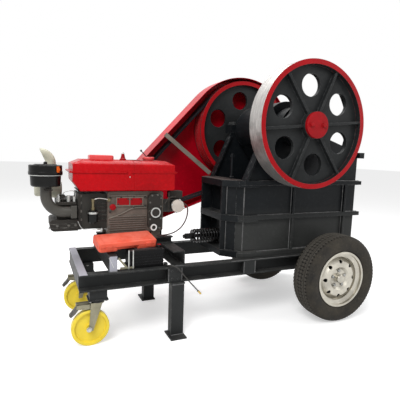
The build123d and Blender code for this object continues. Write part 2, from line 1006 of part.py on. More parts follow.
def near_cheek_plate():
    """Wear plate on the side frame's inner face, beside the chamber."""
    lean = (chamber_top - chamber_bottom) / math.tan(face_angle)
    low = moving_bottom_x - jaw_plate_thickness * 2
    outline = [
        (low, chamber_bottom),
        (chamber_front, chamber_bottom),
        (chamber_front, chamber_top),
        (low - lean, chamber_top),
    ]
    return plate_xz(outline, -wall_inner, cheek_thickness - wall_inner)


def toggle_block():
    """Cross block behind the rear wall that holds the toggle's rear seat."""
    half_height = toggle_block_height / 2
    start = body_rear + wall_thickness
    return block(
        start,
        toggle_block_front,
        -wall_inner,
        wall_inner,
        toggle_block_z - half_height,
        toggle_block_z + half_height,
    )


def toggle_plate():
    """Toggle plate between the rear seat and the swing jaw."""
    half = toggle_thickness / 2
    outline = [
        (toggle_block_front + seat_gap, toggle_block_z - half),
        (toggle_seat_x - seat_gap, toggle_seat_z - half),
        (toggle_seat_x - seat_gap, toggle_seat_z + half),
        (toggle_block_front + seat_gap, toggle_block_z + half),
    ]
    return plate_xz(outline, -toggle_half_width, toggle_half_width)


def tension_rod():
    """Rod from the swing jaw's foot out through the rear wall, with its nuts."""
    rod_end = toggle_seat_x - seat_gap
    rod = bar_x(tension_rod_radius, tension_rod_start, rod_end, 0, tension_rod_z)
    washer_start = spring_start - spring_washer_thickness
    rod += bar_x(spring_washer_radius, washer_start, spring_start, 0, tension_rod_z)
    nut = 2 * tension_rod_radius
    rod += bar_x(nut * 0.8, washer_start - nut, washer_start, 0, tension_rod_z)
    rod += bar_x(nut * 0.8, washer_start - 2 * nut - seat_gap, washer_start - nut - seat_gap, 0, tension_rod_z)
    return rod


def tension_spring():
    """Coil spring between the rear wall and the rod's washer."""
    gap = spring_wire_radius + seat_gap
    length = body_rear - spring_start - 2 * gap
    pitch = length / spring_turns
    path = Helix(pitch=pitch, height=length, radius=spring_coil_radius)
    start = path @ 0
    wire = Plane(origin=start, z_dir=path % 0) * Circle(spring_wire_radius)
    coil = sweep(wire, path=path)
    return Pos(spring_start + gap, 0, tension_rod_z) * Rot(0, 90, 0) * coil


def rotor_shaft():
    """Eccentric shaft's round journals from flywheel to pulley."""
    journal = bearing_outer + bearing_collar
    shaft = bar_y(shaft_radius, shaft_x, -journal, journal, shaft_z)
    shaft += bar_y(shaft_end_radius, shaft_x, -flywheel_face, flywheel_face, shaft_z)
    return shaft


def near_bearing():
    """Split bearing housing on the side frame, with its cap, collar and four bolts."""
    housing = bar_y(bearing_radius, shaft_x, -bearing_outer, -bearing_inner, shaft_z)
    housing += block(
        shaft_x - bearing_flange_half,
        shaft_x + bearing_flange_half,
        -bearing_outer,
        -bearing_inner,
        shaft_z - bearing_flange_drop + fit_clearance,
        shaft_z + bearing_flange_rise,
    )
    collar = bearing_outer + bearing_collar
    housing += bar_y(bearing_collar_radius, shaft_x, -collar, -bearing_outer, shaft_z)
    head = bearing_bolt_radius
    for side_x in (-1, 1):
        for y in (-bearing_outer + 2 * head, -bearing_inner - 2 * head):
            x = shaft_x + side_x * bearing_bolt_reach
            top = shaft_z + bearing_flange_rise
            housing += bar_z(head, x, y, top, top + 2 * head)
    collar_reach = collar + cut_overrun
    bore = shaft_radius + running_clearance
    return housing - bar_y(bore, shaft_x, -collar_reach, -bearing_inner + cut_overrun, shaft_z)


def wheel_disc(face, width, turn, grooves):
    """Heavy wheel seen from the near side: rim, web, hub and round holes."""
    back = face + width
    web_front = face + flywheel_web_recess
    web_back = web_front + flywheel_web
    outer = flywheel_radius
    inner = flywheel_inner_radius
    hub = flywheel_hub_radius
    bore = shaft_end_radius + fit_clearance
    profile = [
        (bore, face),
        (hub, face),
        (hub, web_front),
        (inner, web_front),
        (inner, face),
        (outer, face),
    ]
    profile += grooves
    profile += [
        (outer, back),
        (inner, back),
        (inner, web_back),
        (hub, web_back),
        (hub, back),
        (bore, back),
    ]
    wheel = turned_y(profile, shaft_x, shaft_z)
    for number in range(flywheel_holes):
        angle = math.radians(turn + 360 * number / flywheel_holes)
        x = shaft_x + flywheel_hole_circle * math.cos(angle)
        z = shaft_z + flywheel_hole_circle * math.sin(angle)
        low = web_front - cut_overrun
        wheel -= bar_y(flywheel_hole_radius, x, low, web_back + cut_overrun, z)
    return wheel


def near_flywheel():
    """Flywheel with six holes and six ribs between hub and rim."""
    wheel = wheel_disc(-flywheel_face, flywheel_width, flywheel_hole_turn, [])
    low = -flywheel_face + spoke_recess
    high = -flywheel_face + flywheel_web_recess + flywheel_web / 2
    overlap = cut_overrun
    for number in range(flywheel_holes):
        angle = flywheel_hole_turn + 360 * (number + 0.5) / flywheel_holes
        start = flywheel_hub_radius - overlap
        end = flywheel_inner_radius + overlap
        rib = block(start, end, low, high, -spoke_thickness / 2, spoke_thickness / 2)
        wheel += Pos(shaft_x, 0, shaft_z) * Rot(0, -angle, 0) * rib
    return wheel


belt_middle = (pulley_inner_face + flywheel_face) / 2


def belt_places():
    """Middle of each belt along Y."""
    return [belt_middle + belt_pitch * (n - (belt_count - 1) / 2) for n in range(belt_count)]


def groove_points(radius):
    """Points of the belt grooves in a pulley's rim, from near to far."""
    half_top = belt_top_width / 2 + belt_clearance
    slant = (belt_top_width - belt_bottom_width) / 2 / belt_height
    half_low = half_top - slant * (groove_depth - belt_sink)
    points = []
    for y in belt_places():
        points += [
            (radius, y - half_top),
            (radius - belt_sink, y - half_top),
            (radius - groove_depth, y - half_low),
            (radius - groove_depth, y + half_low),
            (radius - belt_sink, y + half_top),
            (radius, y + half_top),
        ]
    return points


def drive_pulley():
    """Grooved drive wheel on the far end of the shaft."""
    grooves = groove_points(flywheel_radius)
    width = flywheel_face - pulley_inner_face
    return wheel_disc(pulley_inner_face, width, pulley_hole_turn, grooves)


def hub_plate(face, direction, thickness):
    """Round end plate with two bolts."""
    end = face + direction * thickness
    plate = bar_y(hub_plate_radius, shaft_x, min(face, end), max(face, end), shaft_z)
    bolt_end = end + direction * hub_bolt_height
    for side in (-1, 1):
        x = shaft_x + side * hub_bolt_circle
        plate += bar_y(hub_bolt_radius, x, min(end, bolt_end), max(end, bolt_end), shaft_z)
    return plate


def tangent_angle(x1, z1, r1, x2, z2, r2, side):
    """Direction of the outward normal of the outer tangent of two circles."""
    run = math.hypot(x2 - x1, z2 - z1)
    lean = math.atan2(z2 - z1, x2 - x1)
    spread = math.asin((r2 - r1) / run)
    return lean + side * (spread + math.pi / 2)


def on_circle(x, z, radius, angle):
    """Point of a circle."""
    return (x + radius * math.cos(angle), z + radius * math.sin(angle))


def belt_path():
    """Closed line of the belts' middle height round both pulleys."""
    offset = belt_sink + belt_height / 2
    small = small_pulley_radius - offset
    big = flywheel_radius - offset
    up = tangent_angle(crank_x, crank_z, small, shaft_x, shaft_z, big, 1)
    down = tangent_angle(crank_x, crank_z, small, shaft_x, shaft_z, big, -1)
    lean = math.atan2(shaft_z - crank_z, shaft_x - crank_x)
    a = on_circle(crank_x, crank_z, small, down)
    b = on_circle(shaft_x, shaft_z, big, down)
    c = on_circle(shaft_x, shaft_z, big, up)
    d = on_circle(crank_x, crank_z, small, up)
    big_mid = on_circle(shaft_x, shaft_z, big, lean)
    small_mid = on_circle(crank_x, crank_z, small, lean + math.pi)
    run = Line(a, b) + ThreePointArc(b, big_mid, c) + Line(c, d) + ThreePointArc(d, small_mid, a)
    return Plane.XZ * run, down


def drive_belts():
    """Four closed belts round both pulleys, each with a wedge section."""
    path, down = belt_path()
    start = path @ 0
    outward = Vector(math.cos(down), 0, math.sin(down))
    half_top = belt_top_width / 2
    half_low = belt_bottom_width / 2
    half_height = belt_height / 2
    wedge = make_face(
        Polyline(
            (half_height, -half_top),
            (half_height, half_top),
            (-half_height, half_low),
            (-half_height, -half_low),
            close=True,
        )
    )
    along = outward.cross(Vector(0, 1, 0))
    section = Plane(origin=start, x_dir=outward, z_dir=along) * wedge
    belt = sweep(section, path=path)
    return Compound([Pos(0, y, 0) * belt for y in belt_places()])


def guard_outline(inset):
    """Guard's outline, as a face inset from its outer line."""
    big = guard_big_radius - inset
    small = guard_small_radius - inset
    crown = guard_big_radius + guard_crown_shift - inset
    tilt = math.radians(guard_crown_angle)
    crown_x = shaft_x - guard_crown_shift * math.cos(tilt)
    crown_z = shaft_z - guard_crown_shift * math.sin(tilt)
    up = tangent_angle(crank_x, crank_z, small, crown_x, crown_z, crown, 1)
    down = tangent_angle(crank_x, crank_z, small, shaft_x, shaft_z, big, -1)
    lean = math.atan2(shaft_z - crank_z, shaft_x - crank_x)
    a = on_circle(crank_x, crank_z, small, down)
    b = on_circle(shaft_x, shaft_z, big, down)
    c = on_circle(shaft_x, shaft_z, big, tilt)
    d = on_circle(crown_x, crown_z, crown, up)
    e = on_circle(crank_x, crank_z, small, up)
    right = on_circle(shaft_x, shaft_z, big, 0)
    top = on_circle(crown_x, crown_z, crown, (tilt + up) / 2)
    left = on_circle(crank_x, crank_z, small, lean + math.pi)
    lines = Line(a, b) + ThreePointArc(b, right, c) + ThreePointArc(c, top, d)
    lines += Line(d, e) + ThreePointArc(e, left, a)
    return make_face(lines)


def belt_guard():
    """Sheet guard: one plate on the outside and a band round the pulleys."""
    depth = guard_outer_y - guard_inner_y
    shell = Pos(0, guard_inner_y, 0) * extrude(Plane.XZ * guard_outline(0), amount=-depth)
    pocket_depth = depth - guard_sheet + cut_overrun
    pocket = extrude(Plane.XZ * guard_outline(guard_sheet), amount=-pocket_depth)
    return shell - Pos(0, guard_inner_y - cut_overrun, 0) * pocket


def guard_brace():
    """Flat bar from the crusher's rear ear to the guard's edge."""
    lift = brace_thickness / 2 + seat_gap
    start = Vector(brace_foot_x, stiffener_reach + lift, brace_foot_z)
    end = Vector(brace_top_x, guard_inner_y - lift, brace_top_z)
    run = end - start
    plane = Plane(origin=start, x_dir=run.cross(Vector(0, 1, 0)), z_dir=run)
    bar = extrude(plane * Rectangle(brace_width, brace_thickness), amount=run.length)
    return bar


def guard_bracket():
    """Bracket on the right crossbeam that carries the guard's lower end."""
    top = rail_top + crossbeam_height
    half = guard_foot_width / 2
    middle = right_crossbeam_start + right_crossbeam_width / 2
    low = crossbeam_half_length - guard_foot_width
    arm_top = top + guard_foot_thickness
    arm = block(middle - half, middle + half, low, guard_foot_y + guard_foot_thickness, top, arm_top)
    down = tangent_angle(
        crank_x,
        crank_z,
        guard_small_radius,
        shaft_x,
        shaft_z,
        guard_big_radius,
        -1,
    )
    foot = on_circle(crank_x, crank_z, guard_small_radius, down)
    rise = math.tan(down + math.pi / 2)
    left = middle - half
    right = middle + half
    upright = [
        (left, top),
        (right, top),
        (right, foot[1] + rise * (right - foot[0]) - seat_gap),
        (left, foot[1] + rise * (left - foot[0]) - seat_gap),
    ]
    return arm + plate_xz(upright, guard_foot_y, guard_foot_y + guard_foot_thickness)


engine_seat = rail_top + crossbeam_height + engine_rail_height


def engine_rails():
    """Two angle bars along the engine, on the crossbeams."""
    top = rail_top + crossbeam_height
    end = right_crossbeam_start + right_crossbeam_width
    bars = []
    for y in (engine_rail_near, engine_rail_far):
        bar = block(left_crossbeam_start, end, y, y + engine_rail_width, top, engine_seat)
        low_y = y + beam_thickness if y > 0 else y - cut_overrun
        high_y = y + engine_rail_width + cut_overrun if y > 0 else y + engine_rail_width - beam_thickness
        bar -= block(
            left_crossbeam_start - cut_overrun,
            end + cut_overrun,
            low_y,
            high_y,
            top + beam_thickness,
            engine_seat - beam_thickness,
        )
        bars.append(bar)
    return Compound(bars)


def engine_block():
    """Crankcase with cooling fins, the cylinder in front of it, the sump and four feet."""
    case = block(block_start, block_end, block_near, block_far, block_bottom, block_top)
    case = fillet(case.edges().filter_by(Axis.Y), block_rounding)
    case += block(
        cylinder_start,
        block_start + block_rounding,
        cylinder_near,
        cylinder_far,
        cylinder_bottom,
        block_top - block_rounding,
    )
    for number in range(fin_count):
        z = fin_bottom + number * fin_spacing
        case += block(fin_start, fin_end, block_near - fin_height, block_near, z, z + fin_thickness)
    rim = block_rounding
    case += block(
        block_start + 2 * rim,
        block_end - 2 * rim,
        engine_rail_near + engine_rail_width + rim,
        engine_rail_far - rim,
        engine_seat - 2 * rim,
        block_bottom + rim,
    )
    foot_length = 4 * rim
    for x in (block_start + rim, block_end - rim - foot_length):
        for y in (engine_rail_near, engine_rail_far):
            case += block(
                x,
                x + foot_length,
                y + seat_gap,
                min(y + engine_rail_width, block_far),
                engine_seat,
                block_bottom + rim,
            )
    crank = bar_y(
        crank_radius + running_clearance,
        crank_x,
        0,
        block_far + cut_overrun,
        crank_z,
    )
    return case - crank


def cylinder_head():
    """Head casting with the rocker cover on its outer face."""
    inset = block_rounding
    head = block(
        head_start,
        cylinder_start - fit_clearance,
        cylinder_near + inset,
        cylinder_far - inset,
        head_bottom,
        head_top,
    )
    head = fillet(head.edges().filter_by(Axis.X), block_rounding)
    cover = block(
        rocker_cover_start,
        cylinder_start - fit_clearance,
        cylinder_near - inset,
        cylinder_far - 2 * inset,
        rocker_cover_bottom,
        rocker_cover_top,
    )
    cover = fillet(cover.edges().filter_by(Axis.X), block_rounding)
    return head + cover


def gear_cover():
    """Timing cover with the starting shaft's bush and the oil filler."""
    face = block_near - fit_clearance
    cover = block(
        gear_cover_start,
        block_end - block_rounding,
        face - gear_cover_thickness,
        face,
        block_bottom + block_rounding,
        block_top - block_rounding,
    )
    cover = fillet(cover.edges().filter_by(Axis.Y), 2 * block_rounding)
    front = face - gear_cover_thickness
    cover += bar_y(crank_bush_radius, crank_x, front - crank_bush_length, front, crank_z)
    cover -= bar_y(crank_bush_bore, crank_x, front - 2 * crank_bush_length, front, crank_z)
    cover += bar_y(oil_filler_radius, oil_filler_x, front - crank_bush_length, front, oil_filler_z)
    return cover


def fuel_tank():
    """Pressed tank over the engine with rounded corners and a seam lip."""
    body = block(tank_start, tank_end, tank_near, tank_far, tank_bottom, tank_seam)
    upright = body.edges().filter_by(Axis.Z)
    body = fillet(upright, tank_corner / 2)
    low = body.faces().sort_by(Axis.Z)[0]
    body = fillet(low.edges(), tank_corner / 2 - cut_overrun)
    top = block(tank_start, tank_end, tank_near, tank_far, tank_seam, tank_top)
    top = fillet(top.edges().filter_by(Axis.Z), tank_corner / 2)
    top = fillet(top.faces().sort_by(Axis.Z)[-1].edges(), tank_corner / 3)
    lip = block(
        tank_start - tank_lip,
        tank_end + tank_lip,
        tank_near - tank_lip,
        tank_far + tank_lip,
        tank_seam - tank_lip_height / 2,
        tank_seam + tank_lip_height / 2,
    )
    lip = fillet(lip.edges().filter_by(Axis.Z), tank_corner / 2 + tank_lip)
    return body + top + lip


def tank_saddle():
    """Dark frame between the engine block and the tank."""
    inset = tank_corner
    return block(
        cylinder_start,
        block_end - inset / 2,
        block_near + inset / 4,
        block_far - inset / 2,
        block_top + seat_gap / 3,
        tank_bottom - seat_gap / 3,
    )


def radiator_cap():
    """Long filler lid on the tank."""
    half_length = radiator_cap_length / 2
    half_width = radiator_cap_width / 2
    lid = block(
        radiator_cap_x - half_length,
        radiator_cap_x + half_length,
        cap_y - half_width,
        cap_y + half_width,
        tank_top,
        tank_top + radiator_cap_height,
    )
    lid = fillet(lid.edges().filter_by(Axis.Z), tank_corner / 2)
    return fillet(lid.faces().sort_by(Axis.Z)[-1].edges(), tank_lip)


def fuel_cap():
    """Round fuel cap on the tank."""
    edge = tank_lip / 2
    top = tank_top + fuel_cap_height
    profile = [
        (0, tank_top),
        (fuel_cap_radius - edge, tank_top),
        (fuel_cap_radius, tank_top + edge),
        (fuel_cap_radius, top - 2 * edge),
        (fuel_cap_radius - 2 * edge, top),
        (0, top),
    ]
    return turned_z(profile, fuel_cap_x, cap_y)


def air_cleaner():
    """Oil-bath air cleaner: bowl, clamp band and lid."""
    edge = tank_lip
    radius = air_cleaner_radius
    profile = [
        (0, air_cleaner_bottom),
        (radius - 2 * edge, air_cleaner_bottom),
        (radius - 1.4 * edge, air_cleaner_bottom + edge),
        (radius - edge, air_cleaner_band - edge),
        (radius, air_cleaner_band),
        (radius, air_cleaner_top - edge / 2),
        (radius - edge / 2, air_cleaner_top),
        (0, air_cleaner_top),
    ]
    return turned_z(profile, air_cleaner_x, air_cleaner_y)


def intake_elbow():
    """Bent pipe from the air cleaner down and across to the head's near face."""
    top = air_cleaner_bottom - seat_gap
    path = FilletPolyline(
        (air_cleaner_x, air_cleaner_y, top),
        (air_cleaner_x, air_cleaner_y, intake_port_z),
        (intake_port_x, air_cleaner_y, intake_port_z),
        radius=intake_bend,
    )
    section = Pos(air_cleaner_x, air_cleaner_y, top) * Circle(intake_radius)
    pipe = sweep(section, path=path)
    half = intake_radius + intake_flange / 2
    head_face = cylinder_near + block_rounding
    pipe += block(
        intake_port_x - 2 * intake_flange,
        intake_port_x + intake_flange,
        air_cleaner_y - intake_radius,
        head_face - fit_clearance,
        intake_port_z - half,
        intake_port_z + half,
    )
    return pipe


def muffler():
    """Muffler body lying along X with its curved tail pipe."""
    body = bar_x(muffler_radius, muffler_start, muffler_end, muffler_y, muffler_z)
    body = fillet(body.edges(), muffler_radius / 4)
    body += bar_z(tailpipe_radius, tailpipe_x, muffler_y, head_top + fit_clearance, muffler_z)
    pipe = bar_z(tailpipe_radius, tailpipe_x, muffler_y, muffler_z, tailpipe_bend_z)
    bend = RadiusArc(
        (tailpipe_x, tailpipe_bend_z),
        (tailpipe_x - tailpipe_bend, tailpipe_bend_z + tailpipe_bend),
        -tailpipe_bend,
    )
    section = Pos(tailpipe_x, 0, tailpipe_bend_z) * Circle(tailpipe_radius)
    horn = sweep(section, path=Plane.XZ * bend)
    return body + pipe + Pos(0, muffler_y, 0) * horn


def dynamo():
    """Charging dynamo beside the crankcase, on its bracket."""
    end = dynamo_face + dynamo_length
    body = bar_y(dynamo_radius, dynamo_x, dynamo_face, end, dynamo_z)
    half = dynamo_bracket / 2
    middle = (dynamo_face + end) / 2
    arm = block(
        block_end + fit_clearance,
        dynamo_x,
        middle - 2 * half,
        middle + 2 * half,
        dynamo_z - dynamo_radius,
        dynamo_z + dynamo_radius,
    )
    return body + arm


def fuel_filter():
    """Fuel filter bowl under its head, carried by the cylinder."""
    top = filter_bottom + filter_height
    edge = filter_radius / 4
    profile = [
        (0, filter_bottom),
        (filter_radius - edge, filter_bottom),
        (filter_radius, filter_bottom + edge),
        (filter_radius, top),
        (filter_radius - edge, top + edge),
        (0, top + edge),
    ]
    bowl = turned_z(profile, filter_x, filter_y)
    arm = block(
        filter_x - edge,
        filter_x + edge,
        filter_y,
        cylinder_near - fit_clearance,
        top - edge,
        top + edge,
    )
    return bowl + arm


def engine_flywheel():
    """Engine flywheel with the grooved drive pulley on its outer face, and the crank."""
    start = flywheel_disc_start
    end = start + flywheel_disc_width
    rim = flywheel_disc_radius * 0.8
    web = flywheel_disc_width / 3
    pulley = small_pulley_radius
    profile = [
        (0, start - web),
        (crank_radius, start - web),
        (crank_radius, start),
        (flywheel_disc_radius, start),
        (flywheel_disc_radius, end),
        (rim, end),
        (rim, end - web),
        (pulley / 2, end - web),
        (pulley / 2, pulley_inner_face),
        (pulley, pulley_inner_face),
    ]
    profile += groove_points(pulley)
    profile += [
        (pulley, flywheel_face),
        (0, flywheel_face),
    ]
    return turned_y(profile, crank_x, crank_z)


def battery():
    """Starter battery: ribbed case, lid, two posts and a terminal cap."""
    end = battery_start + battery_length
    far = battery_near + battery_depth
    lid_low = rail_top + battery_height - battery_lid
    edge = battery_post_radius / 2
    case = block(
        battery_start + edge,
        end - edge,
        battery_near + edge,
        far - edge,
        rail_top,
        lid_low,
    )
    case += block(battery_start, end, battery_near, far, lid_low, rail_top + battery_height)
    top = rail_top + battery_height
    cap_x = end - 1.8 * battery_cap_radius
    cap_y = battery_near + 2.6 * battery_cap_radius
    post_top = top + battery_post_height
    case += bar_z(battery_cap_radius, cap_x, cap_y, top, post_top)
    return case


def battery_tray():
    """Flat tray under the battery, welded to the near rail."""
    end = battery_start + battery_length + tray_margin
    far = battery_near + battery_depth + tray_margin
    return block(battery_start - tray_margin, end, -rail_inner, far, rail_top - tray_thickness, rail_top)


def tool_case():
    """Moulded tool case leaning on the battery."""
    case = Pos(case_length / 2, case_depth / 2, case_thickness / 2)
    case = case * Box(case_length, case_depth, case_thickness)
    case = fillet(case.edges().filter_by(Axis.Z), case_rounding)
    edge = battery_near
    tilt = Rot(case_tilt, 0, 0) * Pos(0, -case_overhang, 0) * case
    return Pos(case_start, edge, rail_top + battery_height + seat_gap) * tilt


# Loose cable: out of its clip, over the rail and down in front of it
cable_route = [
    (476.0, -276.0, 416.5),
    (476.0, -299.0, 416.5),
    (488.0, -320.0, 422.0),
    (509.0, -334.0, 418.0),
    (531.0, -339.0, 401.0),
    (558.0, -341.0, 366.0),
    (597.0, -341.0, 320.0),
    (624.0, -339.0, 291.0),
    (650.0, -338.0, 262.0),
]


def cable_radii(points):
    """Largest arc that each corner's two runs allow."""
    radii = []
    for before, corner, after in zip(points, points[1:], points[2:]):
        first = Vector(*corner) - Vector(*before)
        second = Vector(*after) - Vector(*corner)
        turn = math.radians(first.get_angle(second))
        shorter = min(first.length, second.length)
        radii.append(0.45 * shorter / math.tan(turn / 2))
    return radii


def starting_cable():
    """Cable tube along its route."""
    radii = cable_radii(cable_route)
    print("cable radii", [round(r) for r in radii])
    path = FilletPolyline(*cable_route, radius=radii)
    section = Plane(origin=path @ 0, z_dir=path % 0) * Circle(cable_radius)
    tube = sweep(section, path=path)
    print("cable length", round(path.length), "volume ratio", tube.volume / (math.pi * cable_radius**2 * path.length))
    return tube


def cable_end():
    """Brass lug at the cable's end."""
    end = Vector(*cable_route[-1])
    way = (end - Vector(*cable_route[-2])).normalized()
    section = Plane(origin=end, z_dir=way) * Circle(cable_end_radius)
    return extrude(section, amount=cable_end_length)


def cable_clip():
    """Clip on the rail's top that the cable comes out of."""
    x, y, z = cable_route[0]
    half = cable_clip_width / 2
    return block(x - half, x + half, y, y + cable_clip_length, rail_top, z + half)


both_sides = {
    "stand_legs": near_stand_leg(),
    "caster_mounts": near_caster_mount(),
    "cheek_plates": near_cheek_plate(),
    "shaft_bearings": near_bearing(),
}
near = {
    "rail": near_rail(),
    "caster_fork": near_caster_fork(),
    "caster_wheel": near_caster_wheel(),
    "caster_pedal": near_caster_pedal(),
    "tyre": near_tyre(),
    "rim": near_rim(),
    "side_frame": near_side_frame(),
}
nodes = {}
for name, piece in near.items():
    nodes["near_" + name] = piece
    nodes["far_" + name] = far_side(piece)
for name, piece in both_sides.items():
    nodes[name] = Compound([piece, far_side(piece)])

nodes["chassis_crossmembers"] = Compound([end_crossmember(), front_crossmember()])
nodes["engine_crossbeams"] = Compound([left_crossbeam(), right_crossbeam()])
nodes["axle"] = axle()
nodes["rear_wall"] = rear_wall()
nodes["front_wall"] = front_wall()
nodes["fixed_jaw_plate"] = fixed_jaw_plate()
nodes["moving_jaw_plate"] = moving_jaw_plate()
nodes["swing_jaw"] = swing_jaw()
nodes["toggle_block"] = toggle_block()
nodes["toggle_plate"] = toggle_plate()
nodes["tension_rod"] = tension_rod()
nodes["tension_spring"] = tension_spring()
nodes["rotor_shaft"] = rotor_shaft()
nodes["near_flywheel"] = near_flywheel()
nodes["drive_pulley"] = drive_pulley()
nodes["hub_plates"] = Compound(
    [
        hub_plate(-flywheel_face, -1, near_hub_plate),
        hub_plate(flywheel_face, 1, far_hub_plate),
    ]
)
nodes["drive_belts"] = drive_belts()
nodes["belt_guard"] = belt_guard()
nodes["guard_supports"] = Compound([guard_brace(), guard_bracket()])
nodes["engine_rails"] = engine_rails()
nodes["engine_block"] = engine_block()
nodes["cylinder_head"] = cylinder_head()
nodes["gear_cover"] = gear_cover()
nodes["fuel_tank"] = fuel_tank()
nodes["tank_saddle"] = tank_saddle()
nodes["tank_caps"] = Compound([radiator_cap(), fuel_cap()])
nodes["air_cleaner"] = air_cleaner()
nodes["intake_elbow"] = intake_elbow()
nodes["muffler"] = muffler()
nodes["dynamo"] = dynamo()
nodes["fuel_filter"] = fuel_filter()
nodes["engine_flywheel"] = engine_flywheel()
nodes["battery"] = battery()
nodes["battery_tray"] = battery_tray()
nodes["tool_case"] = tool_case()
nodes["starting_cable"] = starting_cable()
nodes["cable_end"] = cable_end()
nodes["cable_clip"] = cable_clip()

# The finished machine is moved so that its box stands centred on the origin
low_x = min(piece.bounding_box().min.X for piece in nodes.values())
high_x = max(piece.bounding_box().max.X for piece in nodes.values())
low_y = min(piece.bounding_box().min.Y for piece in nodes.values())
high_y = max(piece.bounding_box().max.Y for piece in nodes.values())
centre = Vector((low_x + high_x) / 2, (low_y + high_y) / 2, 0)

os.makedirs("parts", exist_ok=True)
for name, piece in nodes.items():
    export_step(Pos(-centre) * piece, "parts/" + name + ".step")
print("nodes", len(nodes), "centre", round(centre.X, 1), round(centre.Y, 1))
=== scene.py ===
import bpy
import random
from math import atan2, cos, degrees, pi, radians, sin, sqrt
from mathutils import Matrix, Vector

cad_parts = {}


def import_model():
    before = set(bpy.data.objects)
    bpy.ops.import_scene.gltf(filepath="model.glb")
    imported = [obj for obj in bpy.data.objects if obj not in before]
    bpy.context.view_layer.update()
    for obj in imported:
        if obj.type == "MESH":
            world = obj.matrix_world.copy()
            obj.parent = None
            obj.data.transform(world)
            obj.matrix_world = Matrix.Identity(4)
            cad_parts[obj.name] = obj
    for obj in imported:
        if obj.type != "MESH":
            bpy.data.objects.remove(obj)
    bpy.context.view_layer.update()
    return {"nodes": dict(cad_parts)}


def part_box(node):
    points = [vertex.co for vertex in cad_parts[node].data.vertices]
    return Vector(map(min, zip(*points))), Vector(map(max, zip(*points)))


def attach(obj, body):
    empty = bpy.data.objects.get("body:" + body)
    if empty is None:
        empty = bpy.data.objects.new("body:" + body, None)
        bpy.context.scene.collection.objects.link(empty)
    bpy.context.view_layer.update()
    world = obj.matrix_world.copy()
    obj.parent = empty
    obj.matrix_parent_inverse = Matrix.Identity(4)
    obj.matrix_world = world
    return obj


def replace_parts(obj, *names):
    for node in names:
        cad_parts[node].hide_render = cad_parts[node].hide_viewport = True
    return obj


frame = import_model()
random.seed(7)

# The chassis datum: the rails' engine end, the mid-plane and the ground
DATUM_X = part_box("near_rail")[0].x
DATUM_Y = (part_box("near_rail")[0].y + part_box("far_rail")[1].y) / 2
MM = 0.001
SIDES = (("near", -1), ("far", 1))
NEAR, FAR, UP, DOWN, LEFT, RIGHT = (0, -1, 0), (0, 1, 0), (0, 0, 1), (0, 0, -1), (-1, 0, 0), (1, 0, 0)


def at(x, y, z):
    """Point given in millimetres from the chassis datum."""
    return Vector((DATUM_X + x * MM, DATUM_Y + y * MM, z * MM))


def spot(place):
    """The point itself, or the point at a place given from the datum."""
    return place if isinstance(place, Vector) else at(*place)


def placed(place, *turns):
    """Frame at a place, turned by degrees about its own axes, one after the other."""
    matrix = Matrix.Translation(at(*place))
    for axis, angle in turns:
        matrix = matrix @ Matrix.Rotation(radians(angle), 4, axis)
    return matrix


def middle(node):
    """Middle of a solid's box."""
    low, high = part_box(node)
    return (low + high) / 2


def linked(name, data):
    """New object in the scene."""
    piece = bpy.data.objects.new(name, data)
    bpy.context.scene.collection.objects.link(piece)
    return piece


SHAFT, AXLE = middle("rotor_shaft"), middle("near_rim")
AXLE_SPAN = DATUM_Y - AXLE.y


# Materials


class Nodes:
    """A node tree, built step by step."""

    def __init__(self, tree):
        self.tree = tree

    def node(self, kind, **values):
        node = self.tree.nodes.new("ShaderNode" + kind)
        self.set(node, **values)
        return node

    def set(self, node, **values):
        """Sets a node's sockets, by name with underscores."""
        for name, value in values.items():
            self.give(node.inputs[name.replace("_", " ")], value)

    def give(self, socket, value):
        """Links a node's output to a socket, or sets the socket."""
        if isinstance(value, bpy.types.NodeSocket):
            self.tree.links.new(value, socket)
        elif isinstance(value, (tuple, list)) and socket.type == "RGBA":
            socket.default_value = (*value[:3], 1.0)
        else:
            socket.default_value = value

    def sum(self, operation, *values):
        node = self.node("Math")
        node.operation = operation
        for socket, value in zip(node.inputs, values):
            self.give(socket, value)
        return node.outputs["Value"]

    def shown(self):
        """1 for camera, glossy and clear rays."""
        rays = self.node("LightPath").outputs
        shown = rays["Is Camera Ray"]
        for name in ("Is Glossy Ray", "Is Transmission Ray"):
            shown = self.sum("MAXIMUM", shown, rays[name])
        return shown


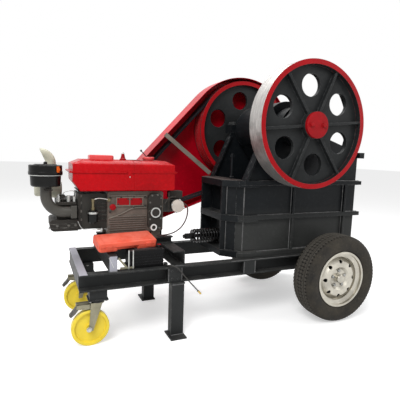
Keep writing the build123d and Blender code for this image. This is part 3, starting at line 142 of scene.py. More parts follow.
class Shade(Nodes):
    """One material's nodes."""

    def __init__(self, name):
        self.material = bpy.data.materials.new(name)
        self.material.use_nodes = True
        super().__init__(self.material.node_tree)
        self.tree.nodes.clear()
        self.shader = self.node("BsdfPrincipled")
        self.node("OutputMaterial", Surface=self.shader.outputs["BSDF"])
        self.place = self.node("TexCoord").outputs["Object"]
        self.normal = None

    def noise(self, scale, detail=3.0, rough=0.55, stretch=(1, 1, 1)):
        place = self.node("Mapping", Vector=self.place, Scale=stretch).outputs["Vector"]
        return self.node("TexNoise", Vector=place, Scale=scale, Detail=detail, Roughness=rough).outputs["Fac"]

    def span(self, value, start, end, low=0.0, high=1.0):
        """Maps start..end to low..high, held at both ends."""
        span = self.node("MapRange", Value=value, From_Min=start, From_Max=end, To_Min=low, To_Max=high)
        return span.outputs["Result"]

    def times(self, *values):
        total = values[0]
        for value in values[1:]:
            total = self.sum("MULTIPLY", total, value)
        return total

    def mix(self, share, first, second):
        node = self.node("Mix")
        node.data_type = "RGBA"
        for number, value in ((0, share), (6, first), (7, second)):
            self.give(node.inputs[number], value)
        return node.outputs[2]

    def tones(self, share, colour, low, high):
        """A colour between a darker and a lighter share of itself."""
        return self.mix(share, scaled(colour, low), scaled(colour, high))

    def spots(self, tone, texture, start, end, share, colour, mask=None):
        """Lays a share of a colour where a texture is high, and a mask allows it."""
        share = self.span(texture, start, end, 0.0, share)
        return self.mix(share if mask is None else self.times(mask, share), tone, colour)

    def edges(self, radius):
        """Rounds edges in the shading, and says where they are: 1 at an edge, 0 away from it."""
        bevel = self.node("Bevel", Radius=radius)
        bevel.samples = 4
        self.normal = bevel.outputs["Normal"]
        dot = self.node("VectorMath")
        dot.operation = "DOT_PRODUCT"
        self.give(dot.inputs[0], self.normal)
        self.give(dot.inputs[1], self.node("NewGeometry").outputs["Normal"])
        return self.span(dot.outputs["Value"], 0.99, 0.8)

    def part(self, axis, value=None):
        """One coordinate of a value, or of the place in the row frame."""
        return self.node("SeparateXYZ", Vector=self.place if value is None else value).outputs[axis]

    def facing_up(self, low=0.5, high=0.95):
        return self.span(self.part("Z", self.node("NewGeometry").outputs["Normal"]), low, high)

    def below(self, value, limit, blur=0.0015):
        """1 where a value is under a limit."""
        return self.span(value, limit - blur, limit + blur, 1.0, 0.0)

    def above(self, value, limit, blur=0.0015):
        """1 where a value is over a limit."""
        return self.span(value, limit - blur, limit + blur)

    def off_axis(self, centre):
        """Distance from a line along Y through a point."""
        across = self.sum("SUBTRACT", self.part("X"), centre.x)
        up = self.sum("SUBTRACT", self.part("Z"), centre.z)
        return self.sum("SQRT", self.sum("ADD", self.times(across, across), self.times(up, up)))

    def bump(self, height, distance, strength=0.5):
        bump = self.node("Bump", Height=height, Distance=distance, Strength=strength)
        if self.normal is not None:
            self.set(bump, Normal=self.normal)
        self.normal = bump.outputs["Normal"]

    def done(self, **values):
        """Sets the shader's own sockets, and hands the material back."""
        self.set(self.shader, Normal=self.normal, **values)
        return self.material


def scaled(colour, factor):
    return tuple(min(1.0, c * factor) for c in colour)


def painted(
    name, colour, roughness=0.4, worn=(0.3, 0.3, 0.3), wear=0.5, dust=0.15, coat=0.0, patch=None,
    specular=0.12,
):
    """Paint with uneven tone, brush and spray marks, chipped edges and dust on what faces up."""
    s = Shade(name)
    edge_mask = s.edges(0.0025)
    broad = s.span(s.noise(2.6, 4), 0.3, 0.7)
    fine = s.noise(45, 6, 0.65)
    tone = s.tones(broad, colour, 0.78, 1.22)
    flecks = scaled(colour, 1.9)
    if patch is not None:
        mask, patch_colour = patch(s)
        tone = s.mix(mask, tone, s.tones(broad, patch_colour, 0.8, 1.2))
        flecks = s.mix(0.02, tone, (1.0, 1.0, 1.0))
    tone = s.spots(tone, fine, 0.52, 0.72, 0.3, flecks)
    tone = s.spots(tone, s.noise(9, 5), 0.35, 0.7, dust, (0.30, 0.28, 0.25), s.facing_up())
    tone = s.spots(tone, fine, 0.42, 0.6, wear, worn, edge_mask)
    s.bump(s.noise(14, 3), 0.0012, 0.35)
    s.bump(s.noise(260, 3, 0.6), 0.00035)
    return s.done(
        Base_Color=tone, Metallic=0.0, Coat_Weight=coat, Coat_Roughness=0.12, Specular_IOR_Level=specular,
        Roughness=s.span(fine, 0.3, 0.7, roughness * 0.8, min(1.0, roughness * 1.35)),
    )


def cast(
    name, colour, roughness=0.55, grain=0.0009, worn=(0.35, 0.33, 0.3), metallic=0.0, grime=0.6, patch=None,
    specular=0.2,
):
    """Painted or bare casting: sand texture, grime in broad uneven patches, rubbed edges."""
    s = Shade(name)
    edge_mask = s.edges(0.003)
    broad = s.span(s.noise(7, 5, 0.6), 0.32, 0.68)
    grains = s.noise(170, 5, 0.7)
    grimy = 1 - 0.45 * grime
    tone = s.tones(broad, colour, grimy, 1.2)
    tone = s.spots(tone, grains, 0.55, 0.75, 0.35, scaled(colour, 1.8))
    if patch is not None:
        mask, patch_colour = patch(s)
        tone = s.mix(mask, tone, s.tones(broad, patch_colour, grimy, 1.2))
    tone = s.spots(tone, s.noise(60, 4), 0.4, 0.62, 0.55, worn, edge_mask)
    s.bump(grains, grain, 0.6)
    return s.done(
        Base_Color=tone, Metallic=metallic, Specular_IOR_Level=specular,
        Roughness=s.span(broad, 0.0, 1.0, roughness * 0.85, roughness * 1.15),
    )


def metal(name, colour, roughness=0.3, rust=0.0):
    """Bare or plated metal with fine scratches, tarnish and some rust."""
    s = Shade(name)
    s.edges(0.0015)
    broad = s.span(s.noise(12, 4), 0.3, 0.7)
    lines = s.noise(160, 4, 0.6)
    tone = s.tones(broad, colour, 0.75, 1.15)
    tone = s.spots(tone, s.noise(28, 6, 0.65), 0.62 - 0.2 * rust, 0.72, rust, (0.16, 0.065, 0.03))
    s.bump(lines, 0.0003)
    return s.done(
        Base_Color=tone, Metallic=0.9,
        Roughness=s.span(lines, 0.25, 0.75, roughness * 0.7, min(1.0, roughness * 1.5)),
    )


def plastic(name, colour, roughness=0.45, grain=0.0003, dust=0.12, pale=(0.5, 0.5, 0.5), specular=0.3):
    """Moulded plastic or rubber with fine grain, scuffs and settled dust."""
    s = Shade(name)
    edge_mask = s.edges(0.002)
    broad = s.span(s.noise(8, 4), 0.3, 0.7)
    tone = s.tones(broad, colour, 0.85, 1.12)
    tone = s.spots(tone, s.noise(35, 6, 0.7, (1, 1, 3)), 0.6, 0.75, 0.35, pale, edge_mask)
    tone = s.spots(tone, s.noise(15, 5), 0.4, 0.7, dust, pale, s.facing_up())
    s.bump(s.noise(320, 3, 0.6), grain, 0.6)
    return s.done(
        Base_Color=tone, Specular_IOR_Level=specular,
        Roughness=s.span(broad, 0.0, 1.0, roughness * 0.85, min(1.0, roughness * 1.2)),
    )


RING_INNER = 0.3445


def heavy_wheel(name, rim_colour, turned):
    """Painted web with a red ring on the rim's face and a bare or painted outer rim."""
    s = Shade(name)
    edge_mask = s.edges(0.003)
    radius = s.off_axis(SHAFT)
    transform = s.node("VectorTransform", Vector=s.node("NewGeometry").outputs["True Normal"])
    transform.vector_type = "NORMAL"
    transform.convert_from = "WORLD"
    transform.convert_to = "OBJECT"
    flat = s.sum("GREATER_THAN", s.sum("ABSOLUTE", s.part("Y", transform.outputs[0])), 0.7)
    ring = s.times(flat, s.sum("GREATER_THAN", radius, RING_INNER))
    drum = s.times(s.sum("SUBTRACT", 1.0, flat), s.sum("GREATER_THAN", radius, RING_INNER + 0.006))
    broad = s.span(s.noise(4, 4), 0.3, 0.7)
    fine = s.noise(45, 6, 0.65)
    charcoal = s.mix(broad, (0.010, 0.011, 0.0115), (0.022, 0.0235, 0.024))
    charcoal = s.spots(charcoal, fine, 0.55, 0.75, 0.3, (0.05, 0.052, 0.052))
    red = s.mix(broad, (0.27, 0.002, 0.005), (0.36, 0.005, 0.009))
    lines = s.noise(34, 6, 0.7, (0.35, 6, 0.35))
    steel = s.tones(s.span(lines, 0.35, 0.65), rim_colour, 0.6, 1.2)
    steel = s.spots(steel, s.noise(11, 6), 0.52, 0.7, 0.55, (0.09, 0.085, 0.08))
    tone = s.mix(drum, s.mix(ring, charcoal, red), steel)
    tone = s.spots(tone, fine, 0.4, 0.6, 0.4, (0.3, 0.3, 0.3), edge_mask)
    s.bump(s.noise(14, 3), 0.001, 0.35)
    s.bump(s.noise(200, 4, 0.6), 0.0004)
    return s.done(
        Base_Color=tone, Metallic=s.times(drum, turned), Specular_IOR_Level=0.12,
        Roughness=s.span(fine, 0.3, 0.7, 0.32, 0.5),
    )


def tyre_rubber():
    """Dusty tyre: browner walls, a paler crown, and painted shade darkening the grooves."""
    s = Shade("rubber_tyre")
    broad = s.span(s.noise(11, 5, 0.65), 0.3, 0.7)
    tone = s.mix(broad, (0.012, 0.011, 0.010), (0.046, 0.040, 0.031))
    tone = s.spots(tone, s.noise(70, 5, 0.7), 0.55, 0.75, 0.4, (0.10, 0.088, 0.066))
    radius = s.off_axis(AXLE)
    from_middle = s.sum("SUBTRACT", s.sum("ABSOLUTE", s.sum("SUBTRACT", s.part("Y"), DATUM_Y)), AXLE_SPAN)
    crown = s.below(s.sum("ABSOLUTE", from_middle), 0.0575)
    tone = s.mix(s.times(crown, s.above(radius, 0.2765, 0.001)), tone, (0.055, 0.050, 0.042))
    # Painted shade: the bottoms of the grooves and sipes are darkened nearly to black
    groove = s.times(crown, s.above(radius, 0.264), s.below(radius, 0.2752, 0.001))
    tone = s.mix(groove, tone, (0.003, 0.003, 0.003))
    s.bump(s.noise(400, 3), 0.0004, 0.6)
    return s.done(Base_Color=tone, Roughness=s.span(broad, 0, 1, 0.62, 0.85), Specular_IOR_Level=0.2)


# Each patch gives a mask and the colour of the paint or metal there


def crossmember_wear_and_reflection(s):
    """Pale worn plate over the end crossmember, its top lighter also as a painted reflection of the bright
    sky.
    """
    return s.times(s.below(s.part("X"), DATUM_X + 0.048), s.above(s.part("Z"), 0.4045)), (0.36, 0.355, 0.40)


def deck_patch(s):
    """Brownish dust on the rear deck."""
    return s.times(s.above(s.part("Z"), 0.885), s.facing_up(0.5, 0.9)), (0.05, 0.036, 0.034)


def lower_patch(s):
    """Lighter paint low on the crusher."""
    return s.span(s.part("Z"), 0.72, 0.60), (0.030, 0.031, 0.030)


def cylinder_colour_and_shade(s):
    """Dark cylinder in front of the khaki crankcase: partly the cylinder's own dark casting, partly painted
    shade on its recessed face.
    """
    return s.below(s.part("X"), DATUM_X + 0.1795), (0.032, 0.030, 0.026)


def dynamo_patch(s):
    """Dark dynamo body behind its pale end."""
    return s.above(s.part("Y"), DATUM_Y - 0.094), (0.035, 0.034, 0.032)


finish = {}


def on(material, *names):
    """Chooses a material for nodes, and hands it back."""
    finish.update(dict.fromkeys(names, material))
    return material


CHARCOAL = (0.021, 0.022, 0.022)
paint_charcoal = painted("paint_charcoal", CHARCOAL, 0.44, wear=0.45, dust=0.08)
# The end crossmember's pale top is partly worn paint, partly a painted reflection of the sky
on(painted("paint_chassis", CHARCOAL, 0.44, dust=0.08, patch=crossmember_wear_and_reflection), "chassis_crossmembers")
paint_body = on(
    painted("paint_body", (0.0055, 0.0068, 0.008), 0.38, dust=0.16, patch=lower_patch),
    "near_side_frame", "far_side_frame", "front_wall", "shaft_bearings", "swing_jaw", "toggle_block",
    "toggle_plate",
)
paint_deck = on(painted("paint_deck", (0.0065, 0.0078, 0.009), 0.4, dust=0.16, patch=deck_patch), "rear_wall")
paint_red = on(painted("paint_red", (0.27, 0.003, 0.006), 0.40, (0.2, 0.05, 0.04), 0.25, 0.03), "hub_plates")
# The guard's red is lighter than the other red paint: partly its own paint, partly painted light falling on
# it from below
on(painted("paint_guard", (0.42, 0.0008, 0.010), 0.32, (0.1, 0.02, 0.02), 0.2, 0.03, 0.1), "belt_guard")
paint_tank = on(
    painted("paint_tank", (0.37, 0.0003, 0.003), 0.26, (0.6, 0.05, 0.05), 0.08, 0.01, 0.1, specular=0.1),
    "fuel_tank",
)
paint_cap = on(painted("paint_cap", (0.60, 0.06, 0.06), 0.3, (0.7, 0.3, 0.3), 0.2, 0.08, 0.2), "tank_caps")
paint_pale = painted("paint_pale", (0.33, 0.33, 0.37), 0.45, (0.10, 0.10, 0.11), 0.6, 0.1)
paint_white = painted("paint_white", (0.62, 0.62, 0.6), 0.45, wear=0.4, dust=0.1)
paint_cream = on(cast("paint_cream", (0.50, 0.49, 0.39), 0.5, 0.0004), "muffler")
paint_gloss_black = on(
    painted("paint_gloss_black", (0.0045, 0.0045, 0.0042), 0.22, (0.1,) * 3, 0.1, 0.03, 0.08, specular=0.15),
    "tension_rod", "tension_spring", "air_cleaner", "tank_saddle", "fuel_filter",
)
paint_khaki = on(cast("paint_khaki", (0.165, 0.145, 0.12), 0.5, 0.0005), "guard_supports")
# The cylinder's darker colour is partly painted shade
on(cast("cast_engine", (0.125, 0.099, 0.082), patch=cylinder_colour_and_shade), "engine_block")
cast_dark = on(cast("cast_dark", (0.022, 0.019, 0.016)), "cylinder_head", "gear_cover", "engine_flywheel")
on(cast("cast_elbow", (0.040, 0.037, 0.031), 0.42, specular=0.35), "intake_elbow")
on(
    cast("cast_jaw", (0.075, 0.066, 0.06), 0.5, 0.0015, (0.3, 0.28, 0.26), 0.3),
    "fixed_jaw_plate", "moving_jaw_plate", "cheek_plates",
)
steel_bare = on(metal("steel_bare", (0.30, 0.30, 0.29), 0.38, 0.3), "rotor_shaft")
steel_dark = metal("steel_dark", (0.12, 0.115, 0.105), 0.4, 0.2)
steel_plated = on(metal("steel_plated", (0.50, 0.50, 0.48)), "near_caster_pedal", "far_caster_pedal")
steel_khaki = on(metal("steel_khaki", (0.24, 0.225, 0.16), 0.42, 0.1), "near_caster_fork", "far_caster_fork")
weld_bead = metal("weld_bead", (0.13, 0.13, 0.13), 0.5)
on(cast("aluminium", (0.5, 0.44, 0.39), 0.42, 0.0004, (0.7, 0.7, 0.68), 0.4, 0.4, dynamo_patch), "dynamo")
on(metal("rim_silver", (0.47, 0.445, 0.385), 0.33, 0.1), "near_rim", "far_rim")
on(metal("yellow_brass", (0.60, 0.42, 0.13)), "cable_end")
dull_brass = metal("dull_brass", (0.17, 0.14, 0.08), 0.4)
on(plastic("rubber_belt", (0.012, 0.012, 0.015), 0.55, specular=0.15), "drive_belts")
rubber_cable = on(plastic("rubber_cable", (0.035, 0.033, 0.03), 0.5), "starting_cable")
rubber_lead = plastic("rubber_lead", (0.060, 0.026, 0.022), 0.4)
plastic_black = on(plastic("plastic_black", (0.004, 0.004, 0.0045), 0.40, specular=0.12), "battery")
on(
    plastic("plastic_yellow", (0.80, 0.62, 0.05), 0.38, 0.0004, 0.15, (0.6, 0.5, 0.3)),
    "near_caster_wheel", "far_caster_wheel",
)
plastic_coral = on(
    plastic("plastic_coral", (0.74, 0.11, 0.062), 0.5, 0.0006, 0.45, (0.98, 0.30, 0.22), 0.15), "tool_case"
)
plastic_orange = plastic("plastic_orange", (0.80, 0.13, 0.01), 0.4)
rubber_tyre = on(tyre_rubber(), "near_tyre", "far_tyre")
on(heavy_wheel("wheel_near", (0.50, 0.48, 0.46), 0.85), "near_flywheel")
on(heavy_wheel("wheel_far", (0.04, 0.04, 0.04), 0.2), "drive_pulley")

for name, node in frame["nodes"].items():
    node.data.materials.clear()
    node.data.materials.append(finish.get(name, paint_charcoal))


# Shapes, in millimetres from the datum
WASHER = 2


def frame_for(direction):
    """Two unit vectors across a direction."""
    direction = direction.normalized()
    side = direction.cross(Vector((0, 0, 1)))
    if side.length < 0.01:
        side = direction.cross(Vector((0, 1, 0)))
    side.normalize()
    return side, side.cross(direction).normalized()


def around(count):
    """Equal turns round a circle."""
    return [2 * pi * n / count for n in range(count)]


def rectangle(low_x, high_x, low_y, high_y):
    return [(low_x, low_y), (high_x, low_y), (high_x, high_y), (low_x, high_y)]


def octagon(low_x, high_x, low_y, high_y, cut):
    """Rectangle with its corners cut."""
    return [
        (low_x + cut, low_y), (high_x - cut, low_y), (high_x, low_y + cut), (high_x, high_y - cut),
        (high_x - cut, high_y), (low_x + cut, high_y), (low_x, high_y - cut), (low_x, low_y + cut),
    ]


def smooth(points, steps=6):
    """Smooth line through points."""
    points = [Vector(p) for p in points]
    line = []
    for i in range(len(points) - 1):
        a = points[max(i - 1, 0)]
        b, c = points[i], points[i + 1]
        d = points[min(i + 2, len(points) - 1)]
        second, third = 2 * a - 5 * b + 4 * c - d, 3 * b - a - 3 * c + d
        for step in range(steps):
            t = step / steps
            line.append(0.5 * (2 * b + (c - a) * t + second * t * t + third * t**3))
    line.append(points[-1])
    return line


class Shape:
    """Points and faces gathered for one mesh."""

    def __init__(self):
        self.points, self.faces = [], []

    def rings(self, rings, closed=False, caps=True):
        """Joins rings of equally many points into a skin."""
        start, count, total = len(self.points), len(rings[0]), len(rings)
        for ring in rings:
            self.points.extend(ring)
        for i in range(total if closed else total - 1):
            a, b = start + i * count, start + (i + 1) % total * count
            for j in range(count):
                k = (j + 1) % count
                self.faces.append((a + j, a + k, b + k, b + j))
        if caps and not closed:
            self.faces.append(tuple(reversed(range(start, start + count))))
            self.faces.append(tuple(range(start + (total - 1) * count, start + total * count)))
        return self

    def turned(self, profile, origin, axis, sides=24):
        """Solid of revolution from (distance along the axis, radius) pairs."""
        origin, axis = spot(origin), Vector(axis).normalized()
        side, up = frame_for(axis)
        ring = [side * cos(t) + up * sin(t) for t in around(sides)]
        return self.rings([
            [origin + (axis * along + way * radius) * MM for way in ring] for along, radius in profile
        ])

    def bolt(self, origin, axis, across, height):
        """Washer and hexagon head."""
        self.turned([(0, across * 0.75), (WASHER, across * 0.75)], origin, axis, 16)
        head = across / sqrt(3)
        return self.turned([(WASHER, head), (height * 0.85, head), (height, head * 0.85)], origin, axis, 6)

    def block(self, low, high, turn=None):
        """Square block between two places, or in the frame of a matrix."""
        outline = rectangle(low[0], high[0], low[1], high[1])
        if turn is None:
            return self.prism(outline, low[2], high[2])
        return self.rings([[turn @ (Vector((x, y, z)) * MM) for x, y in outline] for z in (low[2], high[2])])

    def prism(self, outline, low, high, sign=1):
        """Upright block with an outline in X and Y, which the sign mirrors."""
        return self.rings([[at(x, sign * y, z) for x, y in outline] for z in (low, high)])

    def slab(self, outline, start, end):
        """Block across the machine with an outline in X and Z."""
        return self.rings([[at(x, y, z) for x, z in outline] for y in (start, end)])

    def tube(self, line, radius, sides=8):
        """Round bar along a line; radius is a number or one for each point."""
        line = [spot(p) for p in line]
        radii = radius if isinstance(radius, list) else [radius] * len(line)
        side, up = frame_for(line[1] - line[0])
        rings = []
        for i, point in enumerate(line):
            way = (line[min(i + 1, len(line) - 1)] - line[max(i - 1, 0)]).normalized()
            side = (side - way * side.dot(way)).normalized()
            up = side.cross(way)
            radius = radii[i] * MM
            rings.append([point + (side * cos(a) + up * sin(a)) * radius for a in around(sides)])
        return self.rings(rings)

    def pipe(self, places, radius, sides=6):
        """Round bar bent smoothly through places."""
        return self.tube(smooth([at(*p) for p in places]), radius, sides)

    def build(self, name, material, slot="frame_charcoal", body="root", angle=35):
        mesh = bpy.data.meshes.new(name)
        mesh.from_pydata([tuple(p) for p in self.points], [], self.faces)
        mesh.polygons.foreach_set("use_smooth", [True] * len(mesh.polygons))
        mesh.set_sharp_from_angle(angle=radians(angle))
        mesh.validate()
        mesh.materials.append(material)
        piece = linked(name, mesh)
        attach(piece, body)
        return piece


# Tyres
TYRE_SIDES = 300
TYRE_GROOVES = (-40, -13, 13, 40)
TREAD_HALF, TREAD_RADIUS, GROOVE_DEPTH, SIPE_DEPTH, LUG_DEPTH = 60, 270, 7.5, 6, 3

# Half of the section, as radius and distance from the middle
TYRE_PROFILE = (
    (170.5, 58), (172, 64.8), (183.5, 65.2), (190, 73.5), (212, 80.5), (234, 82.4),
    (252, 80.8), (265.5, 74.5), (273.5, 64.5), (278, 52), (279.8, 30), (280.4, 0),
)


def tyre(side):
    """Radial tyre with sipes, four grooves and shoulder lugs."""
    centre = middle(side + "_tyre")
    profile = [(r, -y) for r, y in TYRE_PROFILE] + [(r, y) for r, y in reversed(TYRE_PROFILE[:-1])]
    outline = smooth([(r, y, 0) for r, y in profile], 5)
    rings = []
    for number, turn in enumerate(around(TYRE_SIDES)):
        ring = []
        for point in outline:
            radius, y = point.x, point.y
            if abs(y) < TREAD_HALF and radius > TREAD_RADIUS:
                groove = min(abs(y - g) for g in TYRE_GROOVES)
                sipe = number % 4 == (0 if abs(y) > 28 else 2)
                if groove < 4:
                    radius -= GROOVE_DEPTH
                elif sipe and groove > 5:
                    radius -= SIPE_DEPTH
            elif 258 < radius < 276.5 and number % 4 < 2:
                radius -= LUG_DEPTH
            ring.append(centre + Vector((radius * cos(turn), y, radius * sin(turn))) * MM)
        rings.append(ring)
    shape = Shape().rings(rings, closed=True)
    piece = shape.build(side + "_tyre_tread", rubber_tyre, "tyre_rubber", side + "_wheel", 50)
    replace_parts(piece, side + "_tyre")


for side, sign in SIDES:
    tyre(side)


CABLE_ROUTE = (
    (476, -276, 416.5), (476, -299, 416.5), (488, -320, 422), (509, -334, 418),
    (531, -339, 401), (558, -341, 366), (597, -341, 320), (624, -339, 291),
    (650, -338, 262),
)
CABLE_DIAMETER = 0.007
LEAD_ROUTE = (
    (636, -100, 741), (655, -105, 733), (664, -107, 712), (665, -109, 684),
    (658, -110, 650), (643, -110, 616), (618, -109, 585), (585, -106, 563),
    (548, -101, 550), (512, -93, 545), (480, -84, 543),
)
LEAD_DIAMETER = 0.008


def cord_curve(name, route, diameter, material):
    """Smooth round cord with the route's points as its control points."""
    curve = bpy.data.curves.new(name, "CURVE")
    curve.dimensions = "3D"
    curve.bevel_depth = diameter / 2
    curve.bevel_resolution = 4
    curve.use_fill_caps = True
    spline = curve.splines.new("NURBS")
    spline.points.add(len(route) - 1)
    for point, place in zip(spline.points, route):
        point.co = (*at(*place), 1.0)
    spline.order_u = 3
    spline.use_endpoint_u = True
    curve.resolution_u = 12
    curve.materials.append(material)
    piece = linked(name, curve)
    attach(piece, "root")
    return piece


cable = cord_curve("starting_cable_line", CABLE_ROUTE, CABLE_DIAMETER, rubber_cable)
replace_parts(cable, "starting_cable")
lead = cord_curve("dynamo_lead_line", LEAD_ROUTE, LEAD_DIAMETER, rubber_lead)


# Bolts, in groups that share a body and a finish
def bolts(name, places, axis, across, material=steel_dark, slot="bare_steel", body="root", height=None):
    """A row of hexagon bolts with washers."""
    shape = Shape()
    for place in places:
        shape.bolt(place, axis, across, height or across * 0.5)
    shape.build(name, material, slot, body)


def grid(xs, ys, zs):
    """Every combination of the given coordinates."""
    return [(x, y, z) for x in xs for y in ys for z in zs]


def circle(centre, radius, count, turn):
    """Places round a point in an upright plane along X."""
    x, y, z = centre
    angles = [radians(turn + 360 * n / count) for n in range(count)]
    return [(x + radius * cos(a), y, z + radius * sin(a)) for a in angles]


SHAFT_X, SHAFT_Z = 1310, 1232
CRANK_X, CRANK_Z = 455, 691
AXLE_X, AXLE_Z = 1577, 280.5
POST_FACE = 302

for (side, sign), axis, hub_face in zip(SIDES, (NEAR, FAR), (486, 478)):
    caps = grid((SHAFT_X - 160, SHAFT_X + 160), (sign * 237.5, sign * 280.5), (1262,))
    bolts(side + "_bearing_bolts", caps, UP, 30, paint_charcoal, "frame_charcoal", height=22)
    plate = grid((SHAFT_X - 45, SHAFT_X + 45), (sign * hub_face,), (SHAFT_Z,))
    bolts(side + "_hub_plate_bolts", plate, axis, 22, paint_red, "signal_red", "rotor")
    nuts = circle((AXLE_X, sign * 457.5, AXLE_Z), 50, 5, 90)
    bolts(side + "_wheel_nuts", nuts, axis, 19, steel_bare, "bare_steel", side + "_wheel", 14)
for name, y, axis in (("near_axle_nut", -282, NEAR), ("near_axle_head", -210, FAR)):
    bolts(name, [(51, y, 100)], axis, 19, steel_plated, "caster_zinc", "near_caster")
for side, places in (
    ("near", grid((56, 140), (-282, -210), (256,))),
    ("far", grid((22, 106), (210, 282), (308,))),
):
    bolts(side + "_caster_plate_bolts", places, DOWN, 13, steel_bare, "frame_charcoal")

cover_rim = (
    (424, 600), (424, 650), (424, 700), (424, 750), (436, 791),
    (470, 794), (490, 775), (490, 725), (490, 655), (482, 596),
)
bolts("gear_cover_bolts", [(x, -111, z) for x, z in cover_rim], NEAR, 8)
panel_rim = (
    (194, 782), (194, 700), (256, 782), (330, 785), (400, 782), (400, 728), (330, 722),
)
bolts("side_cover_bolts", [(x, -90, z) for x, z in panel_rim], NEAR, 10, cast_dark, "engine_dark")
bolts("crankcase_bolt", [(189, -85, 610)], NEAR, 12)
bolts("cylinder_flange_bolts", [(35, -62, z) for z in (607, 655, 703, 751, 790)], NEAR, 11)
bolts("rocker_box_bolts", [(-128, -52, z) for z in (646, 612)], LEFT, 11)
bolts("rocker_side_bolts", [(x, -76, 628) for x in (-90, -30, 6)], NEAR, 10)
bolts("dynamo_bolts", circle((600, -112, 724), 39, 4, 75), NEAR, 8, steel_plated)
bolts("engine_foot_bolts", grid((208, 456), (-72,), (584,)), NEAR, 12)
for (side, sign), axis in zip(SIDES, (NEAR, FAR)):
    posts = grid((502, 541), (sign * POST_FACE,), (335, 384))
    bolts(side + "_post_bolts", posts, axis, 14, paint_charcoal, "frame_charcoal")


# The crusher's frame
WALL, WALL_INNER, FLANGE = 240, 220, 263
FLANGE_LEVELS = ((405, 437), (646, 672), (863, 889))
REAR_LEVELS = ((405, 445), (632, 672), (849, 889))
BODY_LOW, BODY_TOP = 405, 889
REAR_END, BODY_REAR, CORNER_X, BODY_END, FRONT_END = 871, 950, 985, 1889, 1923
FLANGE_CORNER_X, REAR_HALF, MIDDLE_HALF, WALL_CORNER, SLANT = 975.4, 158.6, 237.6, 205, 28
DOUBLER_END, RIBS_X, RIB_HALF, RIB_LOW, RIB_TOP, BEARING_HALF = 1080, (1350, 1787), 8, 406, 888, 192
EAR_FOOT, EAR_TOP, SEAT_TOP, FRONT_TOP = (985, 889), (1112, 1178), 1204, 1087


# Weld beads along the frame's seams
BEAD, BEAD_STEP = 3.5, 11
REAR_RIB, RAIL_TOP, RAIL_INNER, RAIL_EDGE, LEG_FACE = 161, 405, 252, 285, 318


def weld(shape, start, end, radius=BEAD):
    """Uneven bead along a straight seam."""
    start, end = at(*start), at(*end)
    count = max(4, int((end - start).length / (BEAD_STEP * MM)))
    line = [start.lerp(end, n / count) for n in range(count + 1)]
    shape.tube(line, [radius * random.uniform(0.75, 1.25) for _ in line], 5)


def gaps(levels):
    """What lies between neighbouring levels."""
    return [(lower[1], upper[0]) for lower, upper in zip(levels, levels[1:])]


def frame_welds(side, sign):
    """Beads under and over the side flanges, beside the ribs and up the ear."""
    shape = Shape()
    wall, inner = sign * WALL, sign * WALL_INNER
    for level in (*FLANGE_LEVELS[1], *FLANGE_LEVELS[2], FLANGE_LEVELS[0][1]):
        weld(shape, (1085, wall, level), (1920, wall, level))
    for x in (rib + edge for rib in RIBS_X for edge in (-RIB_HALF, RIB_HALF)):
        for low, high in gaps(FLANGE_LEVELS):
            weld(shape, (x, wall, low), (x, wall, high))
    for low, high in gaps(REAR_LEVELS):
        for x, y in ((CORNER_X, wall), (906, sign * REAR_RIB)):
            weld(shape, (x, y, low), (x, y, high))
    weld(shape, (990, wall, 893), (1114, wall, 1176))
    weld(shape, (990, inner, 893), (1112, inner, 1172))
    shape.build(side + "_frame_welds", weld_bead)


def chassis_welds():
    """Beads at the posts, crossbeams, legs and end plate."""
    shape = Shape()
    for sign in (-1, 1):
        face, inner, edge, leg = (sign * y for y in (POST_FACE, RAIL_INNER, RAIL_EDGE, LEG_FACE))
        for x in (482, 561, 971, 1050):
            weld(shape, (x, face, 322), (x, face, 397))
        for x in (155, 197):
            weld(shape, (x, inner, RAIL_TOP), (x, edge, RAIL_TOP))
        for low, high, y, z in (
            (155, 197, edge, RAIL_TOP), (513, 584, edge, RAIL_TOP), (500, 569, leg, 306),
            (497, 572, leg, 8), (1517, 1637, face, 314),
        ):
            weld(shape, (low, y, z), (high, y, z))
        weld(shape, (880, face, RAIL_TOP), (1915, face, RAIL_TOP), 2.5)
    shape.build("chassis_welds", weld_bead)


for side, sign in SIDES:
    frame_welds(side, sign)
chassis_welds()


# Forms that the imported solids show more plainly
STUD = (1000, -40, 889)


def side_frame(side, sign):
    """Side plate with a slanted rear corner, three flanges, ribs, ear and sloped bar."""
    shape = Shape()
    plate = [
        (CORNER_X, BODY_LOW), (BODY_END, BODY_LOW), (BODY_END, FRONT_TOP),
        (SHAFT_X + BEARING_HALF, SEAT_TOP), (SHAFT_X - BEARING_HALF, SEAT_TOP), EAR_TOP, EAR_FOOT,
    ]
    shape.slab(plate, sign * WALL, sign * WALL_INNER)
    corner = [
        (BODY_REAR, WALL_CORNER), (CORNER_X, WALL), (CORNER_X, WALL_INNER), (BODY_REAR, WALL_CORNER - SLANT),
    ]
    shape.prism(corner, BODY_LOW, BODY_TOP, sign)

    def strip(edge, end):
        return [
            (BODY_REAR, WALL_CORNER), (BODY_REAR, MIDDLE_HALF - edge), (FLANGE_CORNER_X, FLANGE - edge),
            (end, FLANGE - edge), (end, WALL), (CORNER_X, WALL),
        ]

    for low, high in FLANGE_LEVELS:
        shape.prism(strip(0, FRONT_END), low, high, sign)
    for low, high in REAR_LEVELS:
        shape.prism(strip(1, DOUBLER_END), low + 0.5, high - 0.5, sign)
    for x in RIBS_X:
        rib = rectangle(x - RIB_HALF, x + RIB_HALF, WALL, FLANGE - 3)
        shape.prism(rib, RIB_LOW, RIB_TOP, sign)
    (foot_x, foot_z), (top_x, top_z) = EAR_FOOT, EAR_TOP
    bar = [(foot_x - 0.5, foot_z), (top_x - 0.5, top_z), (top_x + 12.5, top_z), (foot_x + 12.5, foot_z)]
    shape.slab(bar, sign * 200, sign * 262)
    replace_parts(shape.build(side + "_side_frame_plates", paint_body, angle=30), side + "_side_frame")


